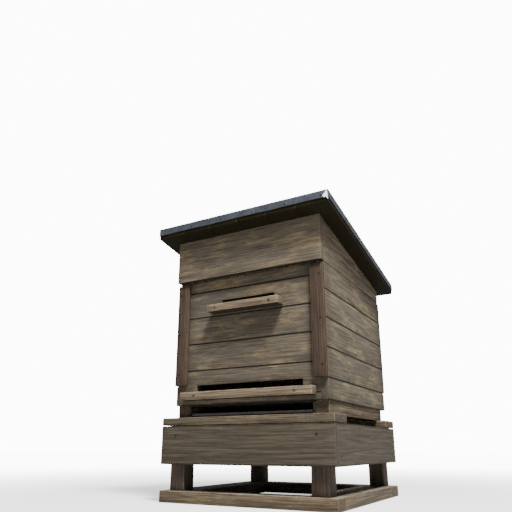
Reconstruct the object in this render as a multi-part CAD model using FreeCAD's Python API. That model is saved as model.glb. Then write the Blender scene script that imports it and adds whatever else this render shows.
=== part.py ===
import FreeCAD, Part
import os

# A wooden beehive for twelve frames, standing on its own low stand, with a pent roof.
# Millimetres. X runs left to right as the keeper faces the entrance, Y runs from the front to the
# back, Z is up. The origin lies on the ground under the middle of the roof, the widest piece.

# ---------------------------------------------------------------- brood box
BOX_WIDTH = 496.0            # outside, left to right
BOX_DEPTH = 508.0            # outside, front to back
BOX_HEIGHT = 384.0           # one jumbo frame and a clear space below it
WALL = 22.0                  # thickness of the wall boards
BOARD_COVER = 81.7           # height that one tongue-and-groove board shows
FRONT_TOP_COVER = 37.5       # the cut-down top board of the front and back walls
TONGUE = 7.0                 # tongue thickness
TONGUE_HEIGHT = 6.0
GROOVE_PLAY = 0.4            # room left round a tongue
VEE = 2.0                    # chamfer on each board edge at a joint

BATTEN_WIDTH = 40.0          # corner battens on the front and back walls
BATTEN_THICKNESS = 11.5
BATTEN_BELOW = 59.0          # clear height under a batten
BATTEN_ABOVE = 8.5           # clear height over a batten

LOWER_SLIT_WIDTH = 347.0     # main entrance
LOWER_SLIT_HEIGHT = 21.0
LOWER_SLIT_BOTTOM = 36.5     # above the box's lower edge
UPPER_SLIT_WIDTH = 180.0     # upper entrance
UPPER_SLIT_HEIGHT = 20.0
UPPER_SLIT_BOTTOM = 292.0
LOWER_LANDING_WIDTH = 426.0  # landing boards: their tops are level with the slits' lower edges
LOWER_LANDING_PROJECTION = 32.5
LOWER_LANDING_THICKNESS = 23.5
UPPER_LANDING_WIDTH = 239.0
UPPER_LANDING_PROJECTION = 39.0
UPPER_LANDING_THICKNESS = 22.7

# ---------------------------------------------------------------- frames inside the box
FRAME_COUNT = 12
FRAME_HEIGHT = 286.0
SIDE_GAP = 4.0               # between the outer frames and the side walls
FRAME_PLAY = 2.0             # between the end bars of two frames
BEE_SPACE = 8.0              # between the end bars and the front and back walls
TOP_GAP = 6.0                # between the top bars and the crown board
LUG_THICKNESS = 10.0
LUG_OVERHANG = 9.0           # how far a lug reaches over the wall
LUG_END_PLAY = 2.0
REST_THICKNESS = 2.0         # metal strip under the lugs
REST_PLAY = 0.5
TOP_BAR_DEPTH = 20.0
END_BAR_THICKNESS = 9.5
SHOULDER_HEIGHT = 110.0      # the wide upper part of an end bar
SHOULDER_STEP = 4.0          # how much narrower each side is below it
TOP_BAR_STEP = 4.0           # how much narrower each side of the top bar is
BOTTOM_BAR_HEIGHT = 9.5
BOTTOM_BAR_WIDTH = 19.0
COMB_THICKNESS = 5.0         # wax foundation with the first drawn cells

# ---------------------------------------------------------------- floor and inspection tray
FLOOR_HEIGHT = 36.0
FLOOR_SIDE_INSET = 4.5       # set in from the sides of the box
FLOOR_FRONT_INSET = 8.7
FLOOR_BACK_INSET = 34.7
FLOOR_RAIL_WIDTH = 46.0
MESH_THICKNESS = 3.0
MESH_LEDGE = 10.0
MESH_PLAY = 0.5
TRAY_THICKNESS = 2.0
TRAY_ABOVE_BOTTOM = 5.5      # tray's underside above the floor's lower edge
TRAY_BITE = 6.0              # depth of the grooves that carry the tray
TRAY_PLAY = 1.0
TRAY_FRONT_INSET = 3.0
TRAY_BACK_GAP = 10.0

# ---------------------------------------------------------------- crown board
CROWN_THICKNESS = 8.0
CROWN_FRONT_BEARING = 10.0   # how far it rests on the rim of the front wall
CROWN_SIDE_BEARING = 12.0
CROWN_BACK_BEARING = 5.0
CROWN_PLAY = 1.0
FEED_SLOT_WIDTH = 30.0
FEED_SLOT_LENGTH = 90.0

# ---------------------------------------------------------------- roof
ROOF_SLOPE = 0.1827          # fall towards the back, per unit of depth
ROOF_BOX_FRONT_HEIGHT = 136.4
ROOF_BOX_WALL = 20.0
ROOF_BOX_FRONT_PROUD = 20.0  # the front board hangs in front of the box wall
ROOF_BOX_BACK_PROUD = 3.0
ROOF_SIDE_OVERHANG = 48.0    # past the sides of the box
ROOF_FRONT_OVERHANG = 68.3
ROOF_BACK_OVERHANG = 42.4
DECK_THICKNESS = 34.0        # roof boards, measured upright
DECK_BOARD_COUNT = 6
DECK_BOARD_GAP = 1.0
COVER_THICKNESS = 2.0        # sheet over the roof boards, folded down at the edges
COVER_HEM = 31.0             # how far the folded edge reaches down the boards
NAIL_INSET = 22.0            # first nail from the corner
NAILS_ACROSS = 6
NAILS_ALONG = 6

# ---------------------------------------------------------------- stand
STAND_FRONT_PROJECTION = 31.5  # past the front of the box
STAND_BACK_PROJECTION = 5.5
STAND_SIDE_PROJECTION = 24.0
PLANK_THICKNESS = 22.0
PLANK_WIDTH = 90.0
APRON_HEIGHT = 105.0
APRON_GAP = 3.0              # shadow gap between the apron and the planks
APRON_FRONT_THICKNESS = 14.5
APRON_SIDE_THICKNESS = 26.5
LEG = 49.0                   # square leg
LEG_CLEAR = 70.5             # leg seen between the base and the apron
BASE_THICKNESS = 32.0
BASE_SIDE_WIDTH = 102.0
BASE_FRONT_WIDTH = 58.0
BASE_BACK_WIDTH = 84.0

# ---------------------------------------------------------------- screws and nails
SCREW_HEAD_RADIUS = 3.6
SCREW_SHANK_RADIUS = 1.8
SCREW_HEAD_THICKNESS = 2.0
NAIL_HEAD_RADIUS = 4.0
NAIL_SHANK_RADIUS = 1.5
NAIL_CORNER_GAP = 4.0        # keeps nails driven from two sides of a corner apart
HEAD_STAND_OFF = 0.8         # nail heads stand proud of the cover

# ---------------------------------------------------------------- levels and main lines
BASE_TOP = BASE_THICKNESS
APRON_BOTTOM = BASE_TOP + LEG_CLEAR
APRON_TOP = APRON_BOTTOM + APRON_HEIGHT
PLANK_BOTTOM = APRON_TOP + APRON_GAP
PLANK_TOP = PLANK_BOTTOM + PLANK_THICKNESS
FLOOR_TOP = PLANK_TOP + FLOOR_HEIGHT
BOX_BOTTOM = FLOOR_TOP
BOX_TOP = BOX_BOTTOM + BOX_HEIGHT

BOX_FRONT = (ROOF_FRONT_OVERHANG - ROOF_BACK_OVERHANG - BOX_DEPTH) / 2
BOX_BACK = BOX_FRONT + BOX_DEPTH
BOX_SIDE = BOX_WIDTH / 2
INNER_SIDE = BOX_SIDE - WALL
INNER_FRONT = BOX_FRONT + WALL
INNER_BACK = BOX_BACK - WALL
BOX_MIDDLE = (BOX_FRONT + BOX_BACK) / 2

STAND_SIDE = BOX_SIDE + STAND_SIDE_PROJECTION
STAND_FRONT = BOX_FRONT - STAND_FRONT_PROJECTION
STAND_BACK = BOX_BACK + STAND_BACK_PROJECTION

ROOF_SIDE = BOX_SIDE + ROOF_SIDE_OVERHANG
ROOF_FRONT = BOX_FRONT - ROOF_FRONT_OVERHANG
ROOF_BACK = BOX_BACK + ROOF_BACK_OVERHANG
ROOF_BOX_FRONT = BOX_FRONT - ROOF_BOX_FRONT_PROUD
ROOF_BOX_BACK = BOX_BACK + ROOF_BOX_BACK_PROUD

REST_LEDGE = LUG_OVERHANG + LUG_END_PLAY
REST_DEPTH = TOP_GAP + LUG_THICKNESS + REST_THICKNESS

parts = {}


def add(name, *solids):
    """Keep one named piece, which may be several separate solids."""
    parts[name] = list(solids)


def box(x0, x1, y0, y1, z0, z1):
    """A block given by its lowest and highest corners."""
    return Part.makeBox(x1 - x0, y1 - y0, z1 - z0, FreeCAD.Vector(x0, y0, z0))


def prism_x(outline, x0, x1):
    """An outline of (y, z) points, carried from x0 to x1."""
    points = [FreeCAD.Vector(x0, y, z) for y, z in outline]
    face = Part.Face(Part.makePolygon(points + points[:1]))
    return face.extrude(FreeCAD.Vector(x1 - x0, 0, 0))


def prism_y(outline, y0, y1):
    """An outline of (x, z) points, carried from y0 to y1."""
    points = [FreeCAD.Vector(x, y0, z) for x, z in outline]
    face = Part.Face(Part.makePolygon(points + points[:1]))
    return face.extrude(FreeCAD.Vector(0, y1 - y0, 0))


def fastener(head, direction, head_radius, shank_radius, head_thickness, length):
    """A round-headed screw or nail: the middle of its head's outer face, and the way it is driven."""
    way = FreeCAD.Vector(*direction)
    start = FreeCAD.Vector(*head)
    cap = Part.makeCylinder(head_radius, head_thickness, start, way)
    shank = Part.makeCylinder(shank_radius, length, start, way)
    return cap.fuse(shank).removeSplitter().Solids[0]


def screw(head, direction, length):
    return fastener(head, direction, SCREW_HEAD_RADIUS, SCREW_SHANK_RADIUS, SCREW_HEAD_THICKNESS, length)


def nail(head, direction):
    length = NAIL_INSET - NAIL_CORNER_GAP
    return fastener(head, direction, NAIL_HEAD_RADIUS, NAIL_SHANK_RADIUS, HEAD_STAND_OFF, length)


def drill(solid, fasteners):
    """Take the fasteners' own shape out of a piece of wood."""
    near = [f for f in fasteners if f.BoundBox.intersect(solid.BoundBox)]
    return solid.cut(Part.makeCompound(near)).Solids[0] if near else solid


def roof_under(y):
    """Height of the underside of the roof boards at a given depth."""
    return BOX_TOP + ROOF_BOX_FRONT_HEIGHT - ROOF_SLOPE * (y - ROOF_BOX_FRONT)


# ================================================================ tongue-and-groove walls
def board_section(z0, z1, is_lowest, is_topmost):
    """Section of one wall board as (depth, height) points; depth 0 is the weathered face."""
    tongue_out = (WALL - TONGUE) / 2
    tongue_in = (WALL + TONGUE) / 2
    groove_out = tongue_out - GROOVE_PLAY
    groove_in = tongue_in + GROOVE_PLAY
    groove_top = z0 + TONGUE_HEIGHT + GROOVE_PLAY
    section = []
    if is_lowest:
        section += [(0, z0), (WALL, z0)]
    else:
        section += [(0, z0 + VEE), (VEE, z0), (groove_out, z0), (groove_out, groove_top)]
        section += [(groove_in, groove_top), (groove_in, z0), (WALL, z0)]
    if is_topmost:
        section += [(WALL, z1), (0, z1)]
    else:
        section += [(WALL, z1), (tongue_in, z1), (tongue_in, z1 + TONGUE_HEIGHT)]
        section += [(tongue_out, z1 + TONGUE_HEIGHT), (tongue_out, z1), (VEE, z1), (0, z1 - VEE)]
    return section


def joint_levels(top_cover):
    """Heights of a wall's board edges, from its lower to its upper edge."""
    levels = [BOX_TOP, BOX_TOP - top_cover]
    while levels[-1] - BOARD_COVER > BOX_BOTTOM:
        levels.append(levels[-1] - BOARD_COVER)
    return [BOX_BOTTOM] + levels[::-1]


def wall_boards(top_cover, place):
    """All boards of one wall; place turns a board's section into a solid."""
    levels = joint_levels(top_cover)
    last = len(levels) - 2
    boards = []
    for i in range(last + 1):
        section = board_section(levels[i], levels[i + 1], i == 0, i == last)
        boards.append(place(section))
    return boards


def place_front(section):
    return prism_x([(BOX_FRONT + d, z) for d, z in section], -INNER_SIDE, INNER_SIDE)


def place_back(section):
    return prism_x([(BOX_BACK - d, z) for d, z in section], -INNER_SIDE, INNER_SIDE)


def place_left(section):
    return prism_y([(-BOX_SIDE + d, z) for d, z in section], BOX_FRONT, BOX_BACK)


def place_right(section):
    return prism_y([(BOX_SIDE - d, z) for d, z in section], BOX_FRONT, BOX_BACK)


def cut_boards(boards, tool):
    return [b.cut(tool).Solids[0] if tool.BoundBox.intersect(b.BoundBox) else b for b in boards]


def slit_tool(width, bottom, height):
    z0 = BOX_BOTTOM + bottom
    return box(-width / 2, width / 2, BOX_FRONT - WALL, INNER_FRONT + WALL, z0, z0 + height)


def build_walls():
    ledge_z = BOX_TOP - REST_DEPTH
    front_ledge = box(-INNER_SIDE, INNER_SIDE, INNER_FRONT - REST_LEDGE, INNER_FRONT, ledge_z, BOX_TOP)
    back_ledge = box(-INNER_SIDE, INNER_SIDE, INNER_BACK, INNER_BACK + REST_LEDGE, ledge_z, BOX_TOP)
    front = cut_boards(wall_boards(FRONT_TOP_COVER, place_front), front_ledge)
    front = cut_boards(front, slit_tool(LOWER_SLIT_WIDTH, LOWER_SLIT_BOTTOM, LOWER_SLIT_HEIGHT))
    front = cut_boards(front, slit_tool(UPPER_SLIT_WIDTH, UPPER_SLIT_BOTTOM, UPPER_SLIT_HEIGHT))
    back = cut_boards(wall_boards(FRONT_TOP_COVER, place_back), back_ledge)
    screws = build_box_trim()
    add("box_wall_front", *[drill(b, screws) for b in front])
    add("box_wall_back", *[drill(b, screws) for b in back])
    add("box_wall_left", *[drill(b, screws) for b in wall_boards(BOARD_COVER, place_left)])
    add("box_wall_right", *[drill(b, screws) for b in wall_boards(BOARD_COVER, place_right)])


def build_box_trim():
    """Corner battens, landing boards and the screws that hold them; gives the screws back."""
    screws = []
    z0 = BOX_BOTTOM + BATTEN_BELOW
    z1 = BOX_TOP - BATTEN_ABOVE
    screw_length = BATTEN_THICKNESS + 0.7 * WALL
    for depth_name, outer, way in (("front", BOX_FRONT, 1), ("back", BOX_BACK, -1)):
        for side_name, side in (("left", -1), ("right", 1)):
            x_edges = sorted((side * BOX_SIDE, side * (BOX_SIDE - BATTEN_WIDTH)))
            y_edges = sorted((outer, outer - way * BATTEN_THICKNESS))
            x_screw = side * (BOX_SIDE - WALL / 2)
            own = []
            for share in (0.1, 0.5, 0.9):
                head = (x_screw, outer - way * BATTEN_THICKNESS, z0 + share * (z1 - z0))
                own.append(screw(head, (0, way, 0), screw_length))
            batten = box(x_edges[0], x_edges[1], y_edges[0], y_edges[1], z0, z1)
            add("batten_" + depth_name + "_" + side_name, drill(batten, own))
            screws += own
    screws += build_landing("landing_board_lower", LOWER_LANDING_WIDTH, LOWER_LANDING_PROJECTION,
                            LOWER_LANDING_THICKNESS, LOWER_SLIT_BOTTOM)
    screws += build_landing("landing_board_upper", UPPER_LANDING_WIDTH, UPPER_LANDING_PROJECTION,
                            UPPER_LANDING_THICKNESS, UPPER_SLIT_BOTTOM)
    add("box_screws", *screws)
    return screws


def build_landing(name, width, projection, thickness, slit_bottom):
    """A board under an entrance, its top level with the slit, screwed through into the wall."""
    top = BOX_BOTTOM + slit_bottom
    middle = top - thickness / 2
    own = []
    for side in (-1, 1):
        head = (side * width * 0.38, BOX_FRONT - projection, middle)
        own.append(screw(head, (0, 1, 0), projection + 0.7 * WALL))
    board = box(-width / 2, width / 2, BOX_FRONT - projection, BOX_FRONT, top - thickness, top)
    add(name, drill(board, own))
    return own


def build_frame_rests():
    z0 = BOX_TOP - REST_DEPTH
    half = INNER_SIDE - REST_PLAY
    width = REST_LEDGE - REST_PLAY
    add("frame_rest_front", box(-half, half, INNER_FRONT - width, INNER_FRONT, z0, z0 + REST_THICKNESS))
    add("frame_rest_back", box(-half, half, INNER_BACK, INNER_BACK + width, z0, z0 + REST_THICKNESS))


# ================================================================ frames
def build_frames():
    pitch = (2 * INNER_SIDE - 2 * SIDE_GAP) / FRAME_COUNT
    for number in range(1, FRAME_COUNT + 1):
        middle = -INNER_SIDE + SIDE_GAP + pitch * (number - 0.5)
        add("frame_" + str(number).zfill(2), *build_frame(middle, pitch))


def build_frame(x, pitch):
    """Top bar with two lugs, two end bars, a bottom bar and a sheet of foundation."""
    half_end = (pitch - FRAME_PLAY) / 2
    half_top = half_end - TOP_BAR_STEP
    top = BOX_TOP - TOP_GAP
    bottom = top - FRAME_HEIGHT
    bar_under = top - TOP_BAR_DEPTH
    y0 = INNER_FRONT + BEE_SPACE
    y1 = INNER_BACK - BEE_SPACE
    lugs = box(x - half_top, x + half_top, INNER_FRONT - LUG_OVERHANG, INNER_BACK + LUG_OVERHANG,
               top - LUG_THICKNESS, top)
    bar = box(x - half_top, x + half_top, y0 + END_BAR_THICKNESS, y1 - END_BAR_THICKNESS,
              bar_under, top - LUG_THICKNESS)
    top_bar = lugs.fuse(bar).removeSplitter().Solids[0]
    end_top = top - LUG_THICKNESS
    shoulder = top - SHOULDER_HEIGHT
    low = half_end - SHOULDER_STEP
    outline = [(x - low, bottom), (x + low, bottom), (x + low, shoulder - SHOULDER_STEP)]
    outline += [(x + half_end, shoulder), (x + half_end, end_top), (x - half_end, end_top)]
    outline += [(x - half_end, shoulder), (x - low, shoulder - SHOULDER_STEP)]
    front_bar = prism_y(outline, y0, y0 + END_BAR_THICKNESS)
    back_bar = prism_y(outline, y1 - END_BAR_THICKNESS, y1)
    inner_y0 = y0 + END_BAR_THICKNESS
    inner_y1 = y1 - END_BAR_THICKNESS
    half_bottom = BOTTOM_BAR_WIDTH / 2
    bottom_bar = box(x - half_bottom, x + half_bottom, inner_y0, inner_y1, bottom, bottom + BOTTOM_BAR_HEIGHT)
    half_comb = COMB_THICKNESS / 2
    comb = box(x - half_comb, x + half_comb, inner_y0, inner_y1, bottom + BOTTOM_BAR_HEIGHT, bar_under)
    return top_bar, front_bar, back_bar, bottom_bar, comb


# ================================================================ floor and tray
def build_floor():
    """Two side rails and a back rail; the front stays open for the tray."""
    outer = BOX_SIDE - FLOOR_SIDE_INSET
    inner = outer - FLOOR_RAIL_WIDTH
    y0 = BOX_FRONT + FLOOR_FRONT_INSET
    y1 = BOX_BACK - FLOOR_BACK_INSET
    back_rail_front = y1 - FLOOR_RAIL_WIDTH
    mesh_under = FLOOR_TOP - MESH_THICKNESS
    tray_z0 = PLANK_TOP + TRAY_ABOVE_BOTTOM
    tray_z1 = tray_z0 + TRAY_THICKNESS
    mesh_half = inner + MESH_LEDGE
    mesh_back = back_rail_front + MESH_LEDGE
    mesh_seat = box(-mesh_half, mesh_half, y0, mesh_back, mesh_under, FLOOR_TOP)
    tray_groove = box(-inner - TRAY_BITE, inner + TRAY_BITE, y0, back_rail_front,
                      tray_z0 - TRAY_PLAY, tray_z1 + TRAY_PLAY)
    for name, side in (("left", -1), ("right", 1)):
        edges = sorted((side * outer, side * inner))
        rail = box(edges[0], edges[1], y0, y1, PLANK_TOP, FLOOR_TOP)
        add("floor_rail_" + name, rail.cut(mesh_seat).cut(tray_groove).Solids[0])
    back = box(-inner, inner, back_rail_front, y1, PLANK_TOP, FLOOR_TOP)
    add("floor_rail_back", back.cut(mesh_seat).Solids[0])
    half = mesh_half - MESH_PLAY
    add("floor_mesh", box(-half, half, y0, mesh_back - MESH_PLAY, mesh_under, FLOOR_TOP))
    tray_half = inner + TRAY_BITE - TRAY_PLAY
    tray_y0 = y0 + TRAY_FRONT_INSET
    tray_y1 = back_rail_front - TRAY_BACK_GAP
    add("inspection_tray", box(-tray_half, tray_half, tray_y0, tray_y1, tray_z0, tray_z1))


# ================================================================ crown board
def crown_edges():
    side = INNER_SIDE + CROWN_SIDE_BEARING
    front = INNER_FRONT - REST_LEDGE - CROWN_FRONT_BEARING
    back = INNER_BACK + REST_LEDGE + CROWN_BACK_BEARING
    return side, front, back


def build_crown_board():
    """Ceiling over the frames, with a round-ended feed slot in its middle."""
    side, front, back = crown_edges()
    board = box(-side, side, front, back, BOX_TOP, BOX_TOP + CROWN_THICKNESS)
    radius = FEED_SLOT_WIDTH / 2
    straight = FEED_SLOT_LENGTH / 2 - radius
    slot = box(-radius, radius, BOX_MIDDLE - straight, BOX_MIDDLE + straight,
               BOX_TOP, BOX_TOP + CROWN_THICKNESS)
    for end in (-1, 1):
        middle = FreeCAD.Vector(0, BOX_MIDDLE + end * straight, BOX_TOP)
        slot = slot.fuse(Part.makeCylinder(radius, CROWN_THICKNESS, middle))
    add("crown_board", board.cut(slot).Solids[0])


# ================================================================ roof
def build_roof_box():
    """Four boards under the roof, cut to its slope, rebated over the crown board's edge."""
    crown_side, crown_front, crown_back = crown_edges()
    lip = BOX_TOP + CROWN_THICKNESS + CROWN_PLAY
    recess = box(-crown_side - CROWN_PLAY, crown_side + CROWN_PLAY, crown_front - CROWN_PLAY,
                 crown_back + CROWN_PLAY, BOX_TOP, lip)
    back_inner = ROOF_BOX_BACK - ROOF_BOX_WALL
    front_inner = ROOF_BOX_FRONT + ROOF_BOX_WALL
    inner_side = BOX_SIDE - ROOF_BOX_WALL

    def upright(y0, y1, x0, x1):
        outline = [(y0, BOX_TOP), (y1, BOX_TOP), (y1, roof_under(y1)), (y0, roof_under(y0))]
        return prism_x(outline, x0, x1).cut(recess).Solids[0]

    add("roof_box_front", upright(ROOF_BOX_FRONT, front_inner, -BOX_SIDE, BOX_SIDE))
    add("roof_box_back", upright(back_inner, ROOF_BOX_BACK, -inner_side, inner_side))
    add("roof_box_left", upright(front_inner, ROOF_BOX_BACK, -BOX_SIDE, -inner_side))
    add("roof_box_right", upright(front_inner, ROOF_BOX_BACK, inner_side, BOX_SIDE))


def roof_slab(x0, x1, inset, low, high):
    """A slice of the sloping roof: low and high are measured up from the boards' underside."""
    y0 = ROOF_FRONT + inset
    y1 = ROOF_BACK - inset
    outline = [(y0, roof_under(y0) + low), (y1, roof_under(y1) + low)]
    outline += [(y1, roof_under(y1) + high), (y0, roof_under(y0) + high)]
    return prism_x(outline, x0, x1)


def roof_nails():
    """Nails through the folded edge of the cover, all round."""
    level = DECK_THICKNESS + COVER_THICKNESS - COVER_HEM / 2
    nails = []
    across = 2 * (ROOF_SIDE - NAIL_INSET) / (NAILS_ACROSS - 1)
    along = (ROOF_BACK - ROOF_FRONT - 2 * NAIL_INSET) / (NAILS_ALONG - 1)
    for i in range(NAILS_ACROSS):
        x = -ROOF_SIDE + NAIL_INSET + i * across
        for y, way in ((ROOF_FRONT, 1), (ROOF_BACK, -1)):
            head = (x, y - way * HEAD_STAND_OFF, roof_under(y) + level)
            nails.append(nail(head, (0, way, 0)))
    for i in range(NAILS_ALONG):
        y = ROOF_FRONT + NAIL_INSET + i * along
        for side in (-1, 1):
            head = (side * (ROOF_SIDE + HEAD_STAND_OFF), y, roof_under(y) + level)
            nails.append(nail(head, (-side, 0, 0)))
    return nails


def build_roof():
    nails = roof_nails()
    deck_side = ROOF_SIDE - COVER_THICKNESS
    board = (2 * deck_side - (DECK_BOARD_COUNT - 1) * DECK_BOARD_GAP) / DECK_BOARD_COUNT
    boards = []
    for i in range(DECK_BOARD_COUNT):
        x0 = -deck_side + i * (board + DECK_BOARD_GAP)
        boards.append(drill(roof_slab(x0, x0 + board, COVER_THICKNESS, 0, DECK_THICKNESS), nails))
    add("roof_deck", *boards)
    top = DECK_THICKNESS + COVER_THICKNESS
    outside = roof_slab(-ROOF_SIDE, ROOF_SIDE, 0, top - COVER_HEM, top)
    inside = roof_slab(-deck_side, deck_side, COVER_THICKNESS, 0, DECK_THICKNESS)
    add("roof_cover", drill(outside.cut(inside).Solids[0], nails))
    add("roof_nails", *nails)


# ================================================================ stand
def build_base():
    """Four planks laid flat as an open ring, the front and back planks running the full width."""
    inner_side = STAND_SIDE - BASE_SIDE_WIDTH
    inner_front = STAND_FRONT + BASE_FRONT_WIDTH
    inner_back = STAND_BACK - BASE_BACK_WIDTH
    add("base_front", box(-STAND_SIDE, STAND_SIDE, STAND_FRONT, inner_front, 0, BASE_TOP))
    add("base_back", box(-STAND_SIDE, STAND_SIDE, inner_back, STAND_BACK, 0, BASE_TOP))
    add("base_left", box(-STAND_SIDE, -inner_side, inner_front, inner_back, 0, BASE_TOP))
    add("base_right", box(inner_side, STAND_SIDE, inner_front, inner_back, 0, BASE_TOP))


def build_upper_stand():
    """Legs, apron boards and the two planks that the hive rests on."""
    leg_out = STAND_SIDE - APRON_SIDE_THICKNESS
    leg_in = leg_out - LEG
    front_leg = STAND_FRONT + APRON_FRONT_THICKNESS
    back_leg = STAND_BACK - APRON_FRONT_THICKNESS
    middle_z = (APRON_BOTTOM + APRON_TOP) / 2
    screw_rise = APRON_HEIGHT / 4
    apron_screws = []
    for side in (-1, 1):
        x = side * (leg_out - LEG / 2)
        for y_leg, y_face, way in ((front_leg + LEG / 2, STAND_FRONT, 1), (back_leg - LEG / 2, STAND_BACK, -1)):
            front_head = (x, y_face, middle_z + screw_rise)
            apron_screws.append(screw(front_head, (0, way, 0), APRON_FRONT_THICKNESS + LEG / 3))
            side_head = (side * STAND_SIDE, y_leg, middle_z - screw_rise)
            apron_screws.append(screw(side_head, (-side, 0, 0), APRON_SIDE_THICKNESS + LEG / 3))
    plank_screws = []
    for side in (-1, 1):
        x = side * (leg_out - LEG / 2)
        for y in (front_leg + LEG / 2, back_leg - LEG / 2):
            plank_screws.append(screw((x, y, PLANK_TOP), (0, 0, -1), PLANK_THICKNESS + LEG / 2))
    every_screw = apron_screws + plank_screws
    for depth_name, y0 in (("front", front_leg), ("back", back_leg - LEG)):
        for side_name, side in (("left", -1), ("right", 1)):
            edges = sorted((side * leg_in, side * leg_out))
            leg = box(edges[0], edges[1], y0, y0 + LEG, BASE_TOP, PLANK_BOTTOM)
            add("leg_" + depth_name + "_" + side_name, drill(leg, every_screw))
    aprons = {
        "apron_front": box(-STAND_SIDE, STAND_SIDE, STAND_FRONT, front_leg, APRON_BOTTOM, APRON_TOP),
        "apron_back": box(-STAND_SIDE, STAND_SIDE, back_leg, STAND_BACK, APRON_BOTTOM, APRON_TOP),
        "apron_left": box(-STAND_SIDE, -leg_out, front_leg, back_leg, APRON_BOTTOM, APRON_TOP),
        "apron_right": box(leg_out, STAND_SIDE, front_leg, back_leg, APRON_BOTTOM, APRON_TOP),
    }
    for name, board in aprons.items():
        add(name, drill(board, apron_screws))
    planks = {
        "plank_front": box(-STAND_SIDE, STAND_SIDE, STAND_FRONT, STAND_FRONT + PLANK_WIDTH,
                           PLANK_BOTTOM, PLANK_TOP),
        "plank_back": box(-STAND_SIDE, STAND_SIDE, STAND_BACK - PLANK_WIDTH, STAND_BACK,
                          PLANK_BOTTOM, PLANK_TOP),
    }
    for name, plank in planks.items():
        add(name, drill(plank, plank_screws))
    add("stand_screws", *every_screw)


def write_parts():
    os.makedirs("parts", exist_ok=True)
    for name, solids in parts.items():
        shape = solids[0] if len(solids) == 1 else Part.makeCompound(solids)
        shape.exportStep("parts/" + name + ".step")
    print(len(parts), "pieces,", sum(len(s) for s in parts.values()), "solids")


build_base()
build_upper_stand()
build_floor()
build_walls()
build_frame_rests()
build_frames()
build_crown_board()
build_roof_box()
build_roof()
write_parts()
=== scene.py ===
# %% [markdown]
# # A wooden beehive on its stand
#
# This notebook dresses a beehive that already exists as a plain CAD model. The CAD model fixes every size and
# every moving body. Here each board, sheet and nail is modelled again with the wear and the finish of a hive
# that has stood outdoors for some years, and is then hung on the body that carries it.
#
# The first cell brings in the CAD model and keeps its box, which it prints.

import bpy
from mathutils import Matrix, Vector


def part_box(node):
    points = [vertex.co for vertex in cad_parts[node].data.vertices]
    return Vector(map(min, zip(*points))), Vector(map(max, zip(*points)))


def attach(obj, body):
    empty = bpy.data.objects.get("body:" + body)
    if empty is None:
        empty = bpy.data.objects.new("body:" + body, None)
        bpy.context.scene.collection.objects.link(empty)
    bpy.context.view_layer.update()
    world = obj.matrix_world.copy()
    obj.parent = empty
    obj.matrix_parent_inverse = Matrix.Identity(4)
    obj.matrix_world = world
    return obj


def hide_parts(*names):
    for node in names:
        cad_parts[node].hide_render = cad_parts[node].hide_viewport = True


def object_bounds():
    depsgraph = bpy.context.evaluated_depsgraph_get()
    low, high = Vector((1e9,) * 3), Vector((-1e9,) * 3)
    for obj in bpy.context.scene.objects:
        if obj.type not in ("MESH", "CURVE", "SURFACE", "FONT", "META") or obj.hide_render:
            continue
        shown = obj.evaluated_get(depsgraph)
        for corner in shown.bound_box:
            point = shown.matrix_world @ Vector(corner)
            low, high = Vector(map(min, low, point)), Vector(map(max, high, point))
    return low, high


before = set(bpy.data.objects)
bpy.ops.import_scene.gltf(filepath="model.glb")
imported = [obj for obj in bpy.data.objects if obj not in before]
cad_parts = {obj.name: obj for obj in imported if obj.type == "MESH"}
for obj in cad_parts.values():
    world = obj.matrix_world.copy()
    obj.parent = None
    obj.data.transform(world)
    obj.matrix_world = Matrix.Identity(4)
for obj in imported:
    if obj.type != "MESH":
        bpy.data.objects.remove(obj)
cad_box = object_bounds()
print("CAD box:", [round(value, 4) for corner in cad_box for value in corner])

# %% Tools of this notebook
import contextlib
import math
import random

import bmesh
import bpy
from mathutils import Matrix, Vector

MM = 0.001
AXIS = {"X": 0, "Y": 1, "Z": 2}
GRAIN = {"front": "X", "back": "X", "left": "Y", "right": "Y"}
SIDES = (("left", -1), ("right", 1))
ENDS = (("front", -1), ("back", 1))
WHITE = (1.0, 1.0, 1.0, 1.0)
chance = random.Random(21)


def add(operator, **settings):
    """Adds one object by an operator, with nothing else selected."""
    bpy.ops.object.select_all(action="DESELECT")
    operator(**settings)
    return bpy.context.object


print("lengths in metres, one millimetre is", MM)

# %% [markdown]
# ## Camera
#
# A hive is usually looked at from a little above the ground, in front and to the right. A camera could be aimed
# with a Track To constraint, but two angles are plainer and easy to change. The camera stands low, so it looks up
# at the underside of the roof. A small upward shift keeps the upright edges from leaning more than they must.

# %% Place the camera
LENS = 36.78
SHIFT_UP = 0.05
TURN = 29.19
TILT = 17.65
EYE_FROM_ENTRANCE = Vector((0.7574, -1.3031, -0.1209))

wall_low, wall_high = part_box("box_wall_front")
entrance_foot = Vector((0, wall_low.y, wall_low.z))
camera = add(bpy.ops.object.camera_add, location=entrance_foot + EYE_FROM_ENTRANCE)
camera.rotation_euler = (math.radians(90 + TILT), 0, math.radians(TURN))
camera.data.lens = LENS
camera.data.shift_y = SHIFT_UP
bpy.context.scene.camera = camera
print("camera at", [round(value, 3) for value in camera.location])

# %% [markdown]
# ## Small helpers for shader nodes
#
# Materials here are built from nodes in code. Every node is made the same way: choose its kind, set its options,
# and give each socket a value or a link. A few short helpers say that once, so the recipes below stay readable.

# %% Node helpers
def shade(red, green, blue):
    """A colour from a paint chart, 0 to 255 a channel, as the linear values a shader works in."""
    return tuple(((value / 255 + 0.055) / 1.055) ** 2.4 for value in (red, green, blue)) + (1.0,)


def fill(tree, sockets, values):
    """Gives each named socket its value or its link."""
    for name, value in values.items():
        if isinstance(value, bpy.types.NodeSocket):
            tree.links.new(value, sockets[name])
        else:
            sockets[name].default_value = value


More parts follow.
